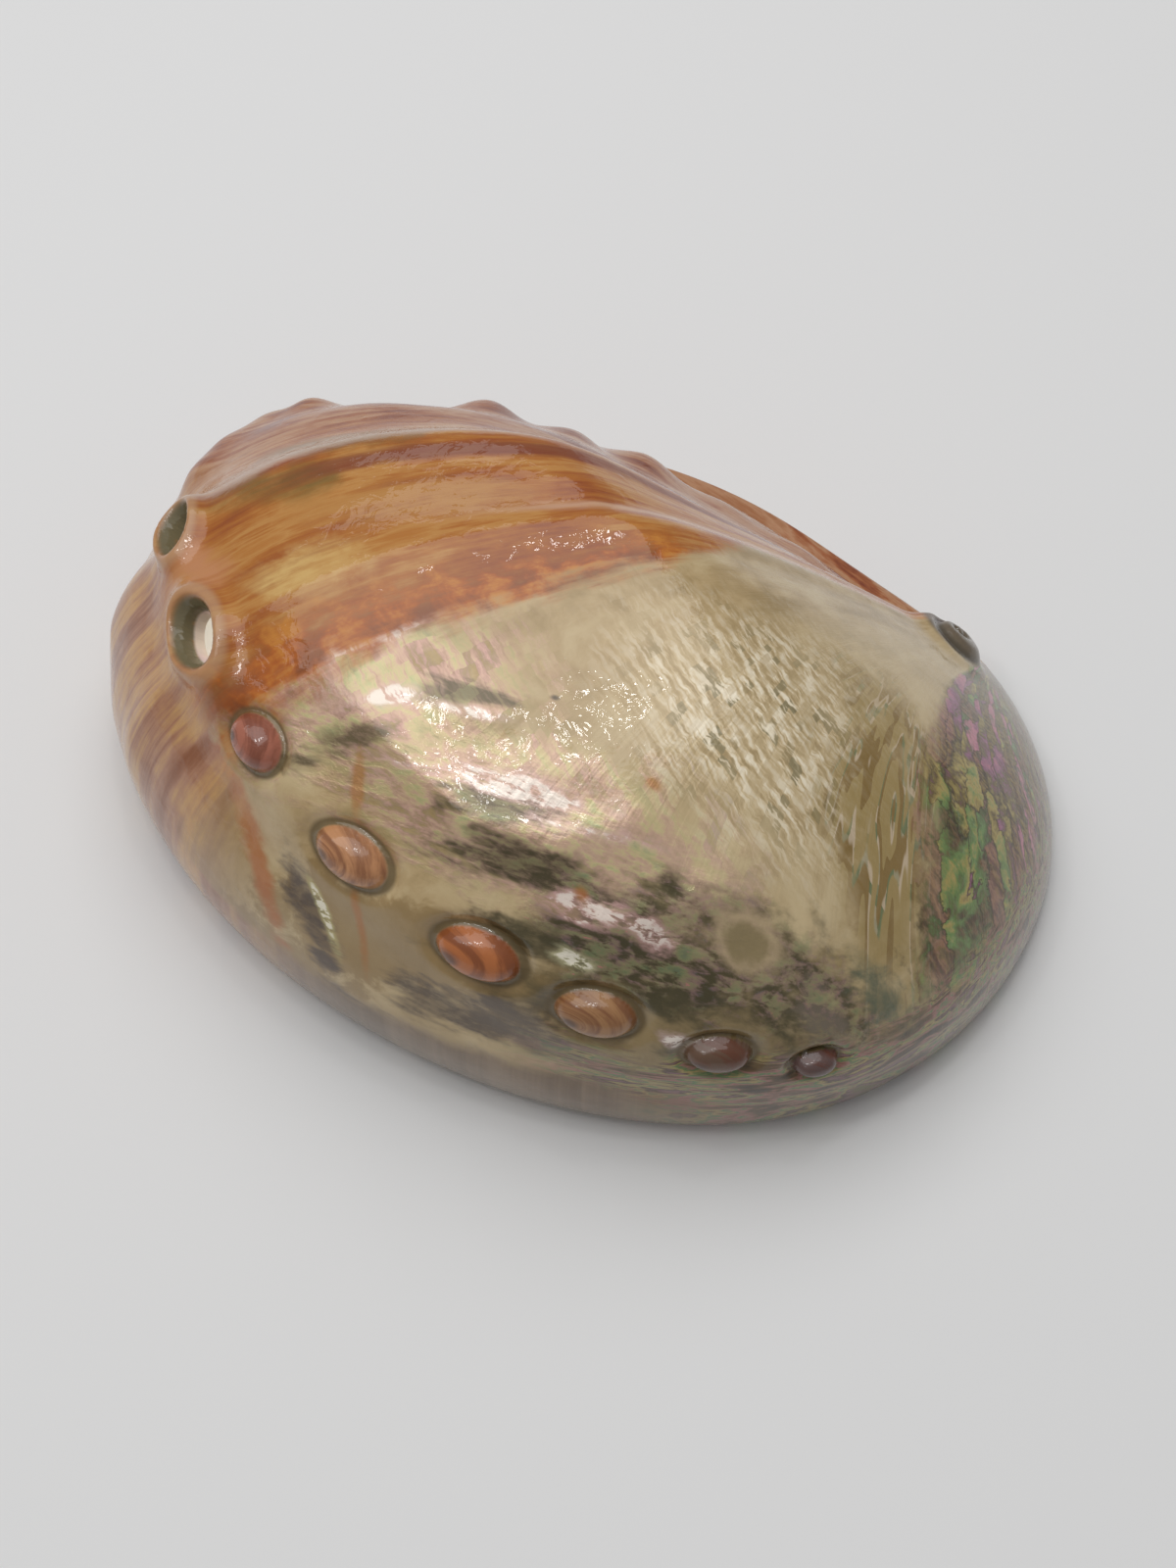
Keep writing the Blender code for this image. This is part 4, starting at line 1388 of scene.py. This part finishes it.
class StageSettings(bpy.types.PropertyGroup):
    """The floor and the camera."""

    floor_colour: FloatVectorProperty(
        name="Floor Colour",
        description="The pale floor under the shell",
        default=(0.82, 0.82, 0.82),
        subtype="COLOR",
    )
    camera_turn: FloatProperty(
        name="Camera Turn",
        description="How far round the camera stands, from the side of the holes towards the spire",
        default=math.radians(24),
        subtype="ANGLE",
    )
    camera_rise: FloatProperty(
        name="Camera Rise",
        description="How high the camera stands above the horizon",
        default=math.radians(62),
        subtype="ANGLE",
    )
    camera_distance: FloatProperty(
        name="Camera Distance",
        description="From the camera to the point on the ground that it looks at",
        default=0.340,
        unit="LENGTH",
    )


class ABALONE_OT_shell(bpy.types.Operator):
    """Grow the shell: dome, relief, holes and finish"""

    bl_idname = "abalone.shell"
    bl_label = "Grow Shell"

    def execute(self, context):
        material = shell_material()
        mesh = closed_skin(grown_sheets(context.scene.abalone_shape, material))
        skin = shaped(mesh)
        before = places_of(mesh)
        piece = bpy.data.objects.new("abalone_shell_skin", mesh)
        context.scene.collection.objects.link(piece)
        cut_open_holes(piece, skin)
        mark_zones(piece, before, skin)
        piece.data.materials.clear()
        piece.data.materials.append(material)
        piece.data.shade_smooth()
        piece.data.set_sharp_from_angle(angle=SHARP_EDGE)
        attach(piece, "root")
        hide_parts("abalone_shell")
        return {"FINISHED"}


AIM = (5.67 * MM, -4.77 * MM, 0.0)
LENS = 47.52
SENSOR = 36.0
FLOOR_SIZE = 3.0


# A wide soft box overhead, and small bright lamps that a wavy gloss breaks into glints
Light = namedtuple("Light", "name place width height power")
LIGHTS = [
    Light("soft box", (-0.27, 0.18, 1.0), 1.4, 1.0, 7.2),
    Light("left lamp", (-0.30, -0.25, 0.75), 0.06, 0.06, 0.20),
    Light("near lamp", (-0.16, -0.14, 0.80), 0.05, 0.05, 0.13),
    Light("middle lamp", (-0.06, 0.0, 0.80), 0.06, 0.06, 0.22),
    Light("right lamp", (0.0, 0.16, 0.80), 0.04, 0.04, 0.14),
]
WORLD_STRENGTH = 0.28
GLOW_PLACE, GLOW_POWER = (-0.03, 0.0, 0.024), 0.03


def add_area_light(light):
    lamp = bpy.data.lights.new(light.name, "AREA")
    lamp.shape = "RECTANGLE"
    lamp.size, lamp.size_y = light.width, light.height
    lamp.energy = light.power
    holder = bpy.data.objects.new(light.name, lamp)
    holder.location = light.place
    holder.rotation_euler = (-Vector(light.place)).to_track_quat("-Z", "Y").to_euler()
    bpy.context.scene.collection.objects.link(holder)


def add_glow():
    """The daylight that a real wall lets through, so that the floor shows pale through the open holes."""
    lamp = bpy.data.lights.new("light through the wall", "POINT")
    lamp.energy = GLOW_POWER
    lamp.shadow_soft_size = 0.01
    holder = bpy.data.objects.new("light through the wall", lamp)
    holder.location = GLOW_PLACE
    bpy.context.scene.collection.objects.link(holder)


class ABALONE_OT_stage(bpy.types.Operator):
    """Set the pale floor, the soft lights and the camera"""

    bl_idname = "abalone.stage"
    bl_label = "Set Stage"

    def execute(self, context):
        settings = context.scene.abalone_stage
        floor_mesh = bpy.data.meshes.new("floor")
        tools = bmesh.new()
        bmesh.ops.create_grid(tools, x_segments=1, y_segments=1, size=FLOOR_SIZE / 2)
        tools.to_mesh(floor_mesh)
        tools.free()
        floor = bpy.data.objects.new("floor", floor_mesh)
        context.scene.collection.objects.link(floor)
        paint = bpy.data.materials.new("pale floor")
        paint.use_nodes = True
        shader = paint.node_tree.nodes["Principled BSDF"]
        shader.inputs["Base Color"].default_value = (*settings.floor_colour, 1)
        shader.inputs["Roughness"].default_value = 0.9
        floor_mesh.materials.append(paint)
        world = bpy.data.worlds.new("studio")
        world.use_nodes = True
        world.node_tree.nodes["Background"].inputs[0].default_value = (1, 1, 1, 1)
        world.node_tree.nodes["Background"].inputs[1].default_value = WORLD_STRENGTH
        context.scene.world = world
        for light in LIGHTS:
            add_area_light(light)
        add_glow()
        turn, rise = settings.camera_turn, settings.camera_rise
        back = Vector(
            (math.sin(turn) * math.cos(rise), -math.cos(turn) * math.cos(rise), math.sin(rise))
        )
        lens = bpy.data.cameras.new("camera")
        lens.lens = LENS
        lens.sensor_width = SENSOR
        lens.sensor_fit = "AUTO"
        camera = bpy.data.objects.new("camera", lens)
        camera.location = Vector(AIM) + back * settings.camera_distance
        camera.rotation_euler = (-back).to_track_quat("-Z", "Y").to_euler()
        context.scene.collection.objects.link(camera)
        context.scene.camera = camera
        context.scene.view_settings.view_transform = "Standard"
        return {"FINISHED"}


class ABALONE_PT_panel(bpy.types.Panel):
    """Lists the sizes and the steps"""

    bl_label = "Abalone Shell"
    bl_space_type = "VIEW_3D"
    bl_region_type = "UI"
    bl_category = "Abalone"

    def draw(self, context):
        layout = self.layout
        for group in (context.scene.abalone_shape, context.scene.abalone_stage):
            for name in group.__annotations__:
                layout.prop(group, name)
        layout.operator("abalone.shell")
        layout.operator("abalone.stage")


CLASSES = (ShellShape, StageSettings, ABALONE_OT_shell, ABALONE_OT_stage, ABALONE_PT_panel)


def register():
    for cls in CLASSES:
        bpy.utils.register_class(cls)
    bpy.types.Scene.abalone_shape = PointerProperty(type=ShellShape)
    bpy.types.Scene.abalone_stage = PointerProperty(type=StageSettings)


def unregister():
    del bpy.types.Scene.abalone_stage
    del bpy.types.Scene.abalone_shape
    for cls in reversed(CLASSES):
        bpy.utils.unregister_class(cls)


def main():
    register()
    bpy.ops.abalone.shell()
    bpy.ops.abalone.stage()


if __name__ == "__main__":
    main()
